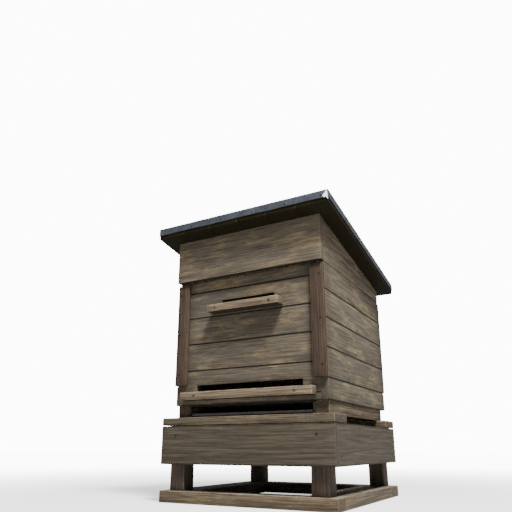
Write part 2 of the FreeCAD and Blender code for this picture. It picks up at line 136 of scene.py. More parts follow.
def put(tree, kind, sockets, **options):
    """Adds one node with its options, and fills its sockets."""
    made = tree.nodes.new("ShaderNode" + kind)
    for option, value in options.items():
        setattr(made, option, value)
    fill(tree, made.inputs, sockets)
    return made


def calc(tree, operation, a, b=0.0, c=0.0):
    return put(tree, "Math", {0: a, 1: b, 2: c}, operation=operation).outputs[0]


def times(tree, a, b):
    return calc(tree, "MULTIPLY", a, b)


def scaled(tree, value, factor, start):
    """The value times a factor, counted from a start."""
    return calc(tree, "MULTIPLY_ADD", value, factor, start)


def vector(tree, operation, a, b=(0.0, 0.0, 0.0)):
    return put(tree, "VectorMath", {0: a, 1: b}, operation=operation).outputs[0]


def parts(tree, place):
    return put(tree, "SeparateXYZ", {0: place}).outputs


def object_place(tree):
    """Where a point lies on the whole hive."""
    return put(tree, "TexCoord", {}).outputs["Object"]


def attribute(tree, name, output="Fac"):
    return put(tree, "Attribute", {}, attribute_name=name).outputs[output]


def fade(tree, value, start, end):
    """0 at start and 1 at end, with a soft step between them. Start may be the greater."""
    ranges = {"Value": value, "From Min": start, "From Max": end}
    return put(tree, "MapRange", ranges, interpolation_type="SMOOTHSTEP").outputs["Result"]


def cloud(tree, place, per_metre, detail=3.0, roughness=0.55):
    """Noise by its features per metre: one number, or one each along, across and through the piece."""
    counts = per_metre if isinstance(per_metre, tuple) else (per_metre,) * 3
    sockets = {"Vector": vector(tree, "MULTIPLY", place, counts), "Scale": 1.0, "Detail": detail,
               "Roughness": roughness}
    return put(tree, "TexNoise", sockets).outputs[0]


def mix(tree, share, a, b, blend="MIX"):
    return put(tree, "Mix", {0: share, 6: a, 7: b}, data_type="RGBA", blend_type=blend).outputs[2]


def coats(tree, colour, *layers):
    """Lays colours over each other, each given as a mask, the share of it that counts, and the colour."""
    for mask, share, paint in layers:
        colour = mix(tree, times(tree, mask, share), colour, paint)
    return colour


def group(name, inputs, outputs):
    """An empty shader group. Place is a vector, and all other inputs and outputs are single values."""
    tree = bpy.data.node_groups.new(name, "ShaderNodeTree")
    for way, labels in (("INPUT", inputs), ("OUTPUT", outputs)):
        for label in labels:
            kind = "NodeSocketVector" if label == "Place" else "NodeSocketFloat"
            socket = tree.interface.new_socket(name=label, in_out=way, socket_type=kind)
            if way == "INPUT" and label != "Place":
                socket.default_value = inputs[label]
    print("shader group", name, "gives", ", ".join(outputs))
    return tree, tree.nodes.new("NodeGroupInput").outputs, tree.nodes.new("NodeGroupOutput").inputs


def use(tree, group_name, sockets):
    """One use of a group inside a material, with its own values."""
    return put(tree, "Group", sockets, node_tree=bpy.data.node_groups[group_name]).outputs


def new_material(name):
    """The CAD model's material of that name, or a new one, with nothing but a fresh Principled shader."""
    material = bpy.data.materials.get(name) or bpy.data.materials.new(name)
    material.use_nodes = True
    tree = material.node_tree
    tree.nodes.clear()
    shader = tree.nodes.new("ShaderNodeBsdfPrincipled")
    output = tree.nodes.new("ShaderNodeOutputMaterial")
    tree.links.new(shader.outputs["BSDF"], output.inputs["Surface"])
    return material, tree, shader.inputs


def surface(tree, shader, colour, roughness, height, strength, depth):
    """Links what every finish here ends in: colour, roughness and relief."""
    bump = put(tree, "Bump", {"Height": height, "Strength": strength, "Distance": depth})
    fill(tree, shader, {"Base Color": colour, "Roughness": roughness, "Normal": bump.outputs["Normal"]})


print("a paint chart brown in linear values:", [round(value, 3) for value in shade(100, 89, 76)])

# %% [markdown]
# ## Light and floor
#
# Outdoors a hive stands in one strong light and much soft light from the sky. In the studio a large square lamp,
# high up in front and to the right, is the sun behind thin cloud, and an even pale surrounding is the sky. A sun
# lamp would give harder shadows than the soft ones wanted here.
#
# The camera sees a brighter backdrop than the sky that lights the hive, so that the background stays white. The
# floor is pale paint, and for the camera alone it glows more and more with its distance from the hive. That way it
# runs into the backdrop with no horizon line.

# %% Lamp and surroundings
LAMP_TURN = 47.0
LAMP_HEIGHT = 58.0
LAMP_DISTANCE = 3.2
LAMP_SIZE = 0.7
LAMP_POWER = 420.0
LAMP_COLOUR = (1.0, 0.985, 0.965)
SKY_STRENGTH = 0.5
SKY_COLOUR = (0.93, 0.96, 1.0, 1.0)
BACKDROP_STRENGTH = 12.0

turn, height = math.radians(LAMP_TURN), math.radians(LAMP_HEIGHT)
level = math.cos(height)
lamp_way = Vector((math.sin(turn) * level, -math.cos(turn) * level, math.sin(height)))
hive_middle = (cad_box[0] + cad_box[1]) / 2
lamp = add(bpy.ops.object.light_add, type="AREA", location=hive_middle + lamp_way * LAMP_DISTANCE)
lamp.rotation_euler = lamp_way.to_track_quat("Z", "Y").to_euler()
lamp.data.size = LAMP_SIZE
lamp.data.energy = LAMP_POWER
lamp.data.color = LAMP_COLOUR
lamp.visible_camera = False

world = bpy.data.worlds.new("pale studio")
bpy.context.scene.world = world
world.use_nodes = True
tree = world.node_tree
sky = tree.nodes["Background"]
fill(tree, sky.inputs, {"Color": SKY_COLOUR, "Strength": SKY_STRENGTH})
backdrop = put(tree, "Background", {"Color": WHITE, "Strength": BACKDROP_STRENGTH})
seen = put(tree, "LightPath", {}).outputs["Is Camera Ray"]
either = put(tree, "MixShader", {0: seen, 1: sky.outputs[0], 2: backdrop.outputs[0]})
fill(tree, tree.nodes["World Output"].inputs, {"Surface": either.outputs[0]})
print("lamp at", [round(value, 2) for value in lamp.location])

# %% Floor
FLOOR_HALF = 12.0
FLOOR_DROP = 0.3 * MM
FLOOR_PAINT = (shade(203, 203, 203), shade(208, 208, 208))
FLOOR_GLOW = 1.0
FLOOR_LIT = 2.7
FLOOR_FADE = (0.5, 3.6)

studio_floor = add(bpy.ops.mesh.primitive_plane_add, size=2 * FLOOR_HALF,
                   location=(0, 0, cad_box[0].z - FLOOR_DROP))
studio_floor.name = "studio_floor"

material, tree, shader = new_material("studio_floor")
where = object_place(tree)
distance = put(tree, "VectorMath", {0: where}, operation="LENGTH").outputs["Value"]
glow = scaled(tree, fade(tree, distance, *FLOOR_FADE), BACKDROP_STRENGTH - FLOOR_LIT, FLOOR_GLOW)
seen = put(tree, "LightPath", {}).outputs["Is Camera Ray"]
fill(tree, shader, {
    "Base Color": mix(tree, cloud(tree, where, 1.5), *FLOOR_PAINT), "Roughness": 0.9, "Specular IOR Level": 0.1,
    "Emission Color": WHITE, "Emission Strength": times(tree, seen, glow)})
studio_floor.data.materials.append(material)
print("floor:", 2 * FLOOR_HALF, "m square")

# %% [markdown]
# ## Where a point lies in its board
#
# Wood looks like wood because its grain follows each board. Object coordinates alone would run one pattern
# through every board of a wall. So every board carries three attributes: where a point lies in the board (along,
# across and through it), half the board's size, and one random number. This group turns them into a place in an
# imagined log, the distances to the board's edges, joints and ends, a mask for the sawn ends, and a tone.

# %% Group: board place
LOG_LENGTH = 50.0
SAWN_DEPTH = 1.2 * MM
# How far the boards lie beside and above the heart of the log: a range in metres, and where it starts.
BESIDE_HEART = (0.12, -0.06)
ABOVE_HEART = (0.09, 0.03)

tree, _, out = group("board place", {}, [
    "Place", "Edge distance", "Joint distance", "End distance", "End grain", "Tone"])
local = attribute(tree, "board_place", "Vector")
seed = attribute(tree, "board_seed")
margin = parts(tree, vector(tree, "SUBTRACT", attribute(tree, "board_half", "Vector"),
                            vector(tree, "ABSOLUTE", local)))
nearer = calc(tree, "MINIMUM", margin[0], margin[1])
farther = calc(tree, "MAXIMUM", margin[0], margin[1])


def lot(factor):
    """One more random number from the board's own. Any factor does, as long as no two are alike."""
    return calc(tree, "FRACT", times(tree, seed, factor))


log_place = put(tree, "CombineXYZ", {
    0: times(tree, seed, LOG_LENGTH), 1: scaled(tree, lot(7.31), *BESIDE_HEART),
    2: scaled(tree, lot(17.9), *ABOVE_HEART)})
fill(tree, out, {
    "Place": vector(tree, "ADD", local, log_place.outputs[0]),
    "Edge distance": calc(tree, "MAXIMUM", nearer, calc(tree, "MINIMUM", farther, margin[2])),
    "Joint distance": calc(tree, "MAXIMUM", margin[1], margin[2]),
    "End distance": margin[0],
    "End grain": fade(tree, margin[0], SAWN_DEPTH, 0.0),
    "Tone": lot(31.7)})

# %% [markdown]
# ## Figure of the wood
#
# A softwood board shows year rings cut lengthwise, and fine fibres that run with them. The rings could be a Wave
# texture, but a ring is really a circle round the heart of the log. The distance from that heart, bent a little
# by slow noise, gives long flames on the faces and arcs on the sawn ends from one formula.

# %% Group: wood figure
tree, given, out = group("wood figure", {"Place": None, "Ring width": 5.0 * MM, "Wobble": 12.0 * MM},
                         ["Rings", "Fibre", "Fine fibre"])
place = given["Place"]
part = parts(tree, place)
square = calc(tree, "ADD", calc(tree, "POWER", part[1], 2.0), calc(tree, "POWER", part[2], 2.0))
bend = calc(tree, "SUBTRACT", cloud(tree, place, (1.6, 7.0, 7.0), 2.0), 0.5)
radius = scaled(tree, bend, given["Wobble"], calc(tree, "SQRT", square))
year = calc(tree, "FRACT", calc(tree, "DIVIDE", radius, given["Ring width"]))
fill(tree, out, {
    "Rings": times(tree, fade(tree, year, 0.3, 0.9), fade(tree, year, 1.0, 0.93)),
    "Fibre": cloud(tree, place, (7.0, 260.0, 260.0), 4.0, 0.62),
    "Fine fibre": cloud(tree, place, (30.0, 900.0, 900.0), 2.0)})

# %% [markdown]
# ## Knots
#
# A knot is a branch that was sawn through. Cells of a flat Voronoi pattern give each knot its place; a random
# number per cell leaves most of them out, because planed hive boards have few. The ripples round a knot are the
# grain that had to grow round the branch.

# %% Group: knots
KNOT_CELLS_PER_METRE = 4.0
RIPPLE_WIDTH = 3.2 * MM

tree, given, out = group("knots", {"Place": None, "Radius": 6.0 * MM, "Share": 0.5}, ["Knot", "Ripples"])
place, size = given["Place"], given["Radius"]
part = parts(tree, place)
flat = put(tree, "CombineXYZ", {0: times(tree, part[0], 0.8), 1: part[1]}).outputs[0]
cells = put(tree, "TexVoronoi", {"Vector": flat, "Scale": KNOT_CELLS_PER_METRE}, voronoi_dimensions="2D").outputs
ragged = scaled(tree, cloud(tree, place, 90.0), 5.0 * MM, -2.5 * MM)
away = calc(tree, "ADD", calc(tree, "DIVIDE", cells["Distance"], KNOT_CELLS_PER_METRE), ragged)
drawn = put(tree, "SeparateColor", {0: cells["Color"]}).outputs[0]
chosen = calc(tree, "LESS_THAN", drawn, given["Share"])
wave = calc(tree, "FRACT", calc(tree, "DIVIDE", away, RIPPLE_WIDTH))
reach = fade(tree, away, times(tree, size, 4.0), size)
fill(tree, out, {
    "Knot": times(tree, fade(tree, away, size, times(tree, size, 0.6)), chosen),
    "Ripples": times(tree, times(tree, wave, reach), chosen)})

# %% [markdown]
# ## Weathering
#
# Sun and rain take stain off in soft patches and leave dark streaks along the grain. Both are noise, drawn out
# along the board by different amounts. They come out as masks, so each wood can decide how strong they are.

# %% Group: weathering
tree, given, out = group("weathering", {"Place": None, "Patch cover": 0.55}, ["Faded", "Streaks", "Damp"])
place, cover = given["Place"], given["Patch cover"]
moved = vector(tree, "ADD", place, (9.1, 4.7, 2.3))
fill(tree, out, {
    "Faded": fade(tree, cloud(tree, place, (9.0, 34.0, 34.0), 7.0, 0.72), cover, calc(tree, "ADD", cover, 0.2)),
    "Streaks": fade(tree, cloud(tree, place, (3.5, 95.0, 95.0), 4.0, 0.6), 0.5, 0.72),
    "Damp": fade(tree, cloud(tree, moved, (4.5, 12.0, 12.0), 4.0, 0.6), 0.46, 0.7)})

# %% [markdown]
# ## Edge wear, dust and painted shade below
#
# Hands and tools rub the stain off corners first. The mask starts at the edge of a board and reaches inwards by a
# distance that noise makes uneven. Dust is simpler: it lies where a face looks up, in loose clouds. The same group
# also gives a painted shade: a mask for faces that look down, so that they can be darkened as if they lay in
# shadow.

# %% Groups: edge wear, dust and painted shade below
tree, given, out = group("edge wear", {"Place": None, "Edge distance": 1.0, "Reach": 2.5 * MM}, ["Mask"])
uneven = scaled(tree, cloud(tree, given["Place"], (45.0, 70.0, 70.0), 4.0, 0.6), 2.6, -0.55)
reach = calc(tree, "MAXIMUM", times(tree, given["Reach"], uneven), 0.05 * MM)
fill(tree, out, {"Mask": fade(tree, calc(tree, "DIVIDE", given["Edge distance"], reach), 1.0, 0.25)})

tree, given, out = group("dust", {"Amount": 0.3}, ["Mask", "Painted shade below"])
slope = parts(tree, put(tree, "NewGeometry", {}).outputs["Normal"])[2]
loose = fade(tree, cloud(tree, object_place(tree), 14.0, 5.0, 0.65), 0.35, 0.7)
fill(tree, out, {
    "Mask": times(tree, times(tree, fade(tree, slope, 0.55, 0.98), loose), given["Amount"]),
    # Painted shade: 1 where a face looks down, for darkening it as if it lay in shadow.
    "Painted shade below": fade(tree, slope, -0.5, -0.9)})

# %% [markdown]
# ## One recipe for stained wood
#
# The hive is softwood under a dark brown stain, but the boards of the box, the battens and the stand have aged
# differently. One recipe puts the groups together, and each wood gives it its own colours and amounts. The
# Principled shader stays in the material, because only there can its single values be set on its own sockets.

# %% Wood recipe
WOOD_ROUGHNESS = 0.66
WOOD_RELIEF = (0.5, 0.7 * MM)
DUST_COLOUR = shade(150, 143, 130)
# Painted shade: the colour laid on faces that look down.
SHADE_COLOUR = shade(24, 21, 13)
# Boards get darker towards their ends, next to the battens: from this far from an end to this far.
END_DARKENING = (62.0 * MM, 8.0 * MM)
END_DARKENING_UNEVEN = 14.0 * MM


def deeper(colour, share):
    """The same colour with only a share of its light."""
    return tuple(share * value for value in colour[:3]) + (1.0,)


def wood(name, colours, rings=0.3, ring_width=5.0 * MM, fading=0.6, cover=0.52, streaks=0.5, damping=0.5,
         knots=0.5, knot_size=5.5 * MM, wear=0.6, wear_reach=2.4 * MM, dust=0.25, gloss=0.12, seam=0.0,
         seam_width=4.0 * MM, ends=0.0, end_grain=0.4):
    """Colours are dark, middle, faded, damp and worn. Amounts run from 0 to 1, and widths are in metres."""
    dark, middle, faded, damp, worn = (shade(*colour) for colour in colours)
    material, tree, shader = new_material(name)
    board = use(tree, "board place", {})
    place = board["Place"]
    figure = use(tree, "wood figure", {"Place": place, "Ring width": ring_width})
    knot = use(tree, "knots", {"Place": place, "Radius": knot_size, "Share": knots})
    weather = use(tree, "weathering", {"Place": place, "Patch cover": cover})
    rubbed = use(tree, "edge wear", {"Place": place, "Edge distance": board["Edge distance"], "Reach": wear_reach})
    dust_and_shade_below = use(tree, "dust", {"Amount": dust})
    figure_mask = calc(tree, "MAXIMUM", figure["Rings"], knot["Ripples"])
    from_end = scaled(tree, weather["Damp"], -END_DARKENING_UNEVEN, board["End distance"])
    colour = coats(
        tree, mix(tree, fade(tree, figure["Fibre"], 0.34, 0.66), dark, middle),
        (weather["Faded"], fading, faded),
        (weather["Damp"], damping, damp),
        (figure_mask, rings, dark),
        (weather["Streaks"], streaks, dark),
        (board["End grain"], end_grain, dark),
        # Darker towards the board's ends.
        (fade(tree, from_end, *END_DARKENING), ends, dark),
        (fade(tree, board["Joint distance"], seam_width, 0.4 * seam_width), seam, deeper(dark, 0.3)),
        (rubbed["Mask"], wear, worn),
        (knot["Knot"], 0.8, deeper(dark, 0.45)))
    level = times(tree, scaled(tree, figure["Fine fibre"], 0.7, 0.43), scaled(tree, board["Tone"], 0.22, 0.99))
    grey = put(tree, "CombineColor", {0: level, 1: level, 2: level}).outputs[0]
    colour = coats(
        tree, mix(tree, 1.0, colour, grey, "MULTIPLY"),
        (dust_and_shade_below["Mask"], 1.0, DUST_COLOUR),
        # Painted shade: faces that look down are darkened as if they lay in shadow.
        (dust_and_shade_below["Painted shade below"], 0.9, SHADE_COLOUR))
    matt = scaled(tree, figure["Fibre"], 0.22, WOOD_ROUGHNESS - 0.11)
    matt = scaled(tree, knot["Knot"], -0.15, scaled(tree, weather["Faded"], 0.1, matt))
    relief = scaled(tree, figure_mask, 0.35, times(tree, figure["Fibre"], 0.9))
    surface(tree, shader, colour, matt, scaled(tree, figure["Fine fibre"], 0.35, relief), *WOOD_RELIEF)
    shader["Specular IOR Level"].default_value = gloss


print("dust on wood:", [round(value, 3) for value in DUST_COLOUR])

# %% [markdown]
# ## The woods of this hive
#
# The wall boards are grey-brown with tan patches where the stain has gone. Battens and legs were cut from redder
# wood and stand upright, so rain has run along their grain. The stand's apron is darker and more even. The roof
# boards are nearly olive, and their colours are made darker still as a painted shade for the underside of the roof.

# %% Mix the woods
wood("box_wood", [(62, 56, 48), (95, 87, 74), (138, 120, 87), (69, 67, 63), (118, 104, 84)], rings=0.16, cover=0.48,
     streaks=0.3, wear=0.25, wear_reach=1.6 * MM, seam=0.9, seam_width=3.8 * MM, ends=0.6, end_grain=0.12)
wood("roof_box_wood", [(70, 63, 54), (112, 102, 87), (149, 130, 96), (81, 77, 71), (128, 112, 90)], rings=0.16,
     fading=0.55, cover=0.48, streaks=0.3, damping=0.4, knots=0.35, wear=0.3)
wood("batten_wood", [(46, 36, 29), (70, 57, 46), (88, 71, 57), (54, 47, 41), (100, 84, 68)], rings=0.22,
     fading=0.35, streaks=0.4, damping=0.4, knots=0.4, wear=0.4)
wood("landing_wood", [(70, 60, 50), (122, 107, 88), (150, 132, 104), (92, 84, 74), (158, 140, 114)], rings=0.25,
     fading=0.5, streaks=0.35, damping=0.3, wear=0.8)
wood("plank_wood", [(54, 47, 38), (98, 86, 70), (136, 118, 88), (72, 66, 58), (136, 120, 96)], rings=0.25,
     fading=0.5, streaks=0.45)
wood("apron_wood", [(52, 46, 38), (80, 72, 60), (100, 89, 70), (64, 61, 55), (124, 110, 90)], rings=0.14,
     fading=0.4, cover=0.54, streaks=0.3, damping=0.45, seam=0.9, seam_width=5.0 * MM, wear=0.15)
wood("leg_wood", [(44, 36, 30), (80, 67, 56), (104, 88, 72), (60, 54, 48), (112, 98, 80)], fading=0.3,
     streaks=0.6, knots=0.4)
wood("base_wood", [(56, 48, 38), (106, 93, 74), (146, 126, 92), (78, 71, 62), (140, 124, 98)], rings=0.42,
     ring_width=7.0 * MM, fading=0.5, streaks=0.35, knots=0.9, knot_size=7.0 * MM, dust=0.35)
wood("floor_wood", [(58, 49, 39), (104, 91, 73), (142, 122, 90), (76, 70, 62), (136, 120, 96)], rings=0.25,
     fading=0.5)
# Painted shade: these colours are darkened so that the underside of the roof looks as if it lay in shadow.
wood("roof_deck_wood", [(24, 21, 13), (44, 39, 24), (60, 50, 30), (32, 30, 20), (58, 54, 36)], fading=0.4,
     streaks=0.6, dust=0.0, gloss=0.03)
wood("frame_pine", [(84, 62, 40), (136, 106, 68), (160, 130, 88), (96, 72, 46), (176, 150, 108)], rings=0.35,
     fading=0.4, streaks=0.25, damping=0.35, knots=0.15, knot_size=3.0 * MM, dust=0.1, gloss=0.4)
wood("crown_ply", [(128, 102, 70), (176, 148, 108), (192, 168, 130), (140, 118, 90), (200, 178, 140)], rings=0.25,
     ring_width=16.0 * MM, fading=0.4, streaks=0.2, damping=0.4, knots=0.2, dust=0.2, gloss=0.4)
print(len(bpy.data.materials), "materials")

# %% [markdown]
# ## Roof sheet and metals
#
# The roof is covered with a slate-grey sheet that has a dull bloom and paler rubbed folds. The tray and the strips
# under the frames are galvanised, which shows as a faint mosaic of crystals. Screws and nails have begun to rust.

# %% Roof sheet finish
material, tree, shader = new_material("roof_sheet")
where = object_place(tree)
fold = attribute(tree, "fold")
bloom = cloud(tree, where, (26.0, 9.0, 24.0), 7.0, 0.7)
fine = cloud(tree, where, 330.0, 3.0, 0.6)
rubbed = times(tree, fold, fade(tree, cloud(tree, where, 60.0, 4.0), 0.4, 0.66))
specks = times(tree, fold, fade(tree, cloud(tree, where, 150.0, 2.0), 0.62, 0.7))
colour = coats(
    tree, mix(tree, fade(tree, bloom, 0.34, 0.68), shade(33, 36, 42), shade(47, 53, 62)),
    (fade(tree, fine, 0.48, 0.75), 0.5, shade(22, 25, 29)),
    (rubbed, 0.55, shade(88, 96, 108)),
    (specks, 0.8, shade(84, 70, 42)),
    (use(tree, "dust", {"Amount": 0.22})["Mask"], 1.0, shade(92, 93, 92)))
surface(tree, shader, colour, scaled(tree, bloom, 0.25, 0.52), scaled(tree, bloom, 1.6, times(tree, fine, 0.5)),
        0.5, 0.6 * MM)
shader["Specular IOR Level"].default_value = 0.35
print("roof sheet:", len(tree.nodes), "nodes")

# %% Metal finishes
CRYSTALS_PER_METRE = 140.0


def metal_finish(name, bright, dull, rust, rusting, roughness):
    """Steel with a mosaic of zinc crystals or a dull skin, and rust that gathers in spots."""
    material, tree, shader = new_material(name)
    where = object_place(tree)
    crystals = put(tree, "TexVoronoi", {"Vector": where, "Scale": CRYSTALS_PER_METRE}).outputs["Color"]
    facet = put(tree, "SeparateColor", {0: crystals}).outputs[0]
    spots = times(tree, fade(tree, cloud(tree, where, 120.0, 4.0, 0.65), 0.48, 0.62), rusting)
    colour = coats(tree, mix(tree, facet, shade(*dull), shade(*bright)), (spots, 1.0, shade(*rust)))
    matt = scaled(tree, spots, 0.35, scaled(tree, facet, 0.14, roughness))
    surface(tree, shader, colour, matt, spots, 0.4, 0.2 * MM)
    tree.links.new(scaled(tree, spots, -0.9, 1.0), shader["Metallic"])


metal_finish("tray_steel", (116, 115, 110), (100, 99, 95), (74, 62, 48), 0.2, 0.5)
metal_finish("rest_steel", (170, 172, 172), (134, 137, 139), (92, 62, 38), 0.25, 0.32)
metal_finish("mesh_steel", (58, 56, 52), (38, 37, 34), (44, 32, 22), 0.6, 0.5)
metal_finish("screw_steel", (60, 54, 47), (40, 36, 31), (52, 40, 30), 0.8, 0.5)
metal_finish("nail_steel", (74, 78, 84), (40, 43, 48), (66, 50, 38), 0.5, 0.4)
print("finishes:", [made.name for made in bpy.data.materials])

# %% [markdown]
# ## How a board is made
#
# A board is a section drawn out along its grain. It could be a stretched cube, but a section with its own outline
# also gives tongues, grooves and chamfers in one go. A filled circle is added with as many corners as the section
# has, the corners are put on the outline, and the face is extruded step by step, so that loops run round the
# board. The loops then let the faces sink unevenly, as planed and weathered wood does.

# %% Board helpers
LOOP_STEP = 26.0 * MM
SOFT_CORNER = 40
SMOOTH_BELOW = 35
GRAIN_LUMPS = 0.05
# Cutters reach this far past the surfaces that they open.
PAST = 0.01


def pick(piece):
    """Selects one piece alone and makes it the active one."""
    bpy.ops.object.select_all(action="DESELECT")
    piece.select_set(True)
    bpy.context.view_layer.objects.active = piece


@contextlib.contextmanager
def edit_mode(piece):
    """Edit mode on one piece, with all of it selected."""
    pick(piece)
    bpy.ops.object.mode_set(mode="EDIT")
    bpy.ops.mesh.select_all(action="SELECT")
    yield
    bpy.ops.object.mode_set(mode="OBJECT")


def draw_out(move):
    """Extrudes what is selected."""
    bpy.ops.mesh.extrude_region_move(TRANSFORM_OT_translate={"value": move})


def turn_outwards():
    bpy.ops.mesh.select_all(action="SELECT")
    bpy.ops.mesh.normals_make_consistent(inside=False)


def spot(along, distance, a, b):
    """A point from its distance along the board and its two coordinates across it, in axis order."""
    values = [a, b]
    values.insert(AXIS[along], distance)
    return Vector(values)


def sweep(name, outline, along, start, end, step=LOOP_STEP):
    """Draws an outline of (a, b) points out along one axis, in steps."""
    piece = add(bpy.ops.mesh.primitive_circle_add, vertices=len(outline), radius=10 * MM, fill_type="NGON")
    piece.name = piece.data.name = name
    for vertex, (a, b) in zip(piece.data.vertices, outline):
        vertex.co = spot(along, start, a, b)
    steps = max(1, round((end - start) / step))
    with edit_mode(piece):
        for _ in range(steps):
            draw_out(spot(along, (end - start) / steps, 0, 0))
        turn_outwards()
    return piece


def run(a0, b0, a1, b1):
    """Extra corners on a straight side for the loops, its first end included."""
    pieces = max(1, round(math.hypot(a1 - a0, b1 - b0) / LOOP_STEP))
    return [(a0 + (a1 - a0) * i / pieces, b0 + (b1 - b0) * i / pieces) for i in range(pieces)]


def rectangle(a0, a1, b0, b1):
    return run(a0, b0, a1, b0) + run(a1, b0, a1, b1) + run(a1, b1, a0, b1) + run(a0, b1, a0, b0)


def apply_modifier(piece, kind, **settings):
    """Adds one modifier to a piece and applies it at once."""
    pick(piece)
    made = piece.modifiers.new(kind.lower(), kind)
    for setting, value in settings.items():
        setattr(made, setting, value)
    bpy.ops.object.modifier_apply(modifier=made.name)


def soften(piece, width, segments=2, angle=SOFT_CORNER):
    """Rounds every sharp edge."""
    apply_modifier(piece, "BEVEL", width=width, segments=segments, limit_method="ANGLE",
                   angle_limit=math.radians(angle), use_clamp_overlap=True)


def roughen(piece, depth, size):
    """Lets the surface sink unevenly by up to a depth; it never grows past the CAD size."""
    unevenness = bpy.data.textures.get("unevenness") or bpy.data.textures.new("unevenness", "CLOUDS")
    unevenness.noise_scale = size
    apply_modifier(piece, "DISPLACE", texture=unevenness, texture_coords="GLOBAL", strength=depth, mid_level=1.0)


def cut_out(piece, cutter):
    apply_modifier(piece, "BOOLEAN", object=cutter, operation="DIFFERENCE", solver="EXACT")
    bpy.data.objects.remove(cutter)


def block(low, high):
    """A cube stretched between two corners."""
    return add(bpy.ops.mesh.primitive_cube_add, size=1, location=(low + high) / 2, scale=high - low)


def smooth(piece, angle=SMOOTH_BELOW):
    pick(piece)
    bpy.ops.object.shade_smooth_by_angle(angle=math.radians(angle))


def mark_board(piece, along, levels=None):
    """Writes the board attributes that the wood recipe reads. Levels are a board's visible lower and upper edge."""
    points = [vertex.co.copy() for vertex in piece.data.vertices]
    low, high = (Vector([end(point[i] for point in points) for i in range(3)]) for end in (min, max))
    if levels:
        low.z, high.z = levels
    half = (high - low) / 2
    middle = (high + low) / 2
    first = AXIS[along]
    order = (first, *sorted((i for i in range(3) if i != first), key=lambda i: -half[i]))
    columns = {
        "place": ("FLOAT_VECTOR", "vector", [point[k] - middle[k] for point in points for k in order]),
        "half": ("FLOAT_VECTOR", "vector", [half[k] for k in order] * len(points)),
        "seed": ("FLOAT", "value", [chance.random()] * len(points))}
    for name, (kind, field, values) in columns.items():
        piece.data.attributes.new("board_" + name, kind, "POINT").data.foreach_set(field, values)


def finish_board(piece, along, round_edge, uneven, lumps=GRAIN_LUMPS, levels=None):
    """Worn edges, uneven faces, the attributes for the wood recipe, and smooth shading."""
    soften(piece, round_edge)
    if uneven:
        roughen(piece, uneven, lumps)
    mark_board(piece, along, levels)
    smooth(piece)
    return piece


def timber(name, low, high, along, round_edge, uneven=0.5 * MM, cuts=()):
    """A square-edged piece of wood between two corners, with blocks cut out of it."""
    a, b = (i for i in range(3) if i != AXIS[along])
    outline = rectangle(low[a], high[a], low[b], high[b])
    piece = sweep(name, outline, along, low[AXIS[along]], high[AXIS[along]])
    for corners in cuts:
        cut_out(piece, block(*corners))
    return finish_board(piece, along, round_edge, uneven)


def join(name, pieces):
    """Makes one object of several."""
    pick(pieces[0])
    for piece in pieces:
        piece.select_set(True)
    bpy.ops.object.join()
    pieces[0].name = pieces[0].data.name = name
    return pieces[0]


def settle(piece, finish, body, *nodes):
    """Gives a piece its finish, which names its slot too, and its body, and hides the CAD nodes that it stands for.
    """
    piece.data.materials.clear()
    piece.data.materials.append(bpy.data.materials[finish])
    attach(piece, body)
    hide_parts(*nodes)
    print(piece.name, "rides on", body, "-", len(piece.data.polygons), "faces")


print("loops every", LOOP_STEP / MM, "mm")

# %% [markdown]
# ## Base ring, legs, planks and apron
#
# The stand is plain carpentry: an open ring of flat planks on the ground, four square legs, apron boards round
# them and two planks that carry the hive. Each is one length of timber, so each is one board from the helper.
# Their corners are knocked and rounded, more on the base than above.

# %% Stand timber
STAND = [
    ("base", 2.4 * MM, ("front", "back", "left", "right")),
    ("leg", 1.8 * MM, ("front_left", "front_right", "back_left", "back_right")),
    ("plank", 1.6 * MM, ("front", "back")),
    ("apron", 1.4 * MM, ("front", "back", "left", "right"))]
APRON_RISE = 1.5 * MM
for kind, edge, sites in STAND:
    for site in sites:
        node = kind + "_" + site
        low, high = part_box(node)
        if kind == "apron":
            high.z += APRON_RISE
        piece = timber(node + "_timber", low, high, GRAIN.get(site, "Z"), edge)
        settle(piece, kind + "_wood", "stand", node)

# %% [markdown]
# ## Tongue-and-groove walls
#
# Each wall is a stack of narrow boards. A board has a tongue on its upper edge, a groove below, and a small
# chamfer on the weather side, which makes the dark V line between boards. The section could be cut from a block
# with booleans, but its outline is simple enough to draw, and the sweep then gives clean loops.

# %% Board section
BOARD_COVER = 81.7 * MM
TOP_COVER = {"X": 37.5 * MM, "Y": 81.7 * MM}
WALL = 22.0 * MM
TONGUE = 7.0 * MM
TONGUE_HEIGHT = 5.6 * MM
PLAY = 0.5 * MM
VEE = 2.0 * MM


def wall_section(z0, z1, lowest, topmost):
    """Section as (depth, height) points, from the weather side inwards and back."""
    out_side = (WALL - TONGUE) / 2
    in_side = (WALL + TONGUE) / 2
    if lowest:
        points = [(0, z0)]
    else:
        groove_top = z0 + TONGUE_HEIGHT + PLAY
        points = [(0, z0 + VEE), (VEE, z0), (out_side - PLAY, z0), (out_side - PLAY, groove_top),
                  (in_side + PLAY, groove_top), (in_side + PLAY, z0)]
    points += run(WALL, z0, WALL, z1) + [(WALL, z1)]
    if topmost:
        return points + run(0, z1, 0, points[0][1])
    points += [(in_side, z1), (in_side, z1 + TONGUE_HEIGHT), (out_side, z1 + TONGUE_HEIGHT), (out_side, z1)]
    return points + [(VEE, z1)] + run(0, z1 - VEE, 0, points[0][1])


print("corners in a middle board's section:", len(wall_section(0, BOARD_COVER, False, False)))

# %% [markdown]
# ## Walls with their entrances
#
# The front wall has a wide slit near the bottom and a short one near the top. A Boolean modifier with a block as
# its cutter opens them before the edges are rounded, so the slits get worn edges too. The ledges in the front and
# back walls, where the frames hang, are cut in the same way.

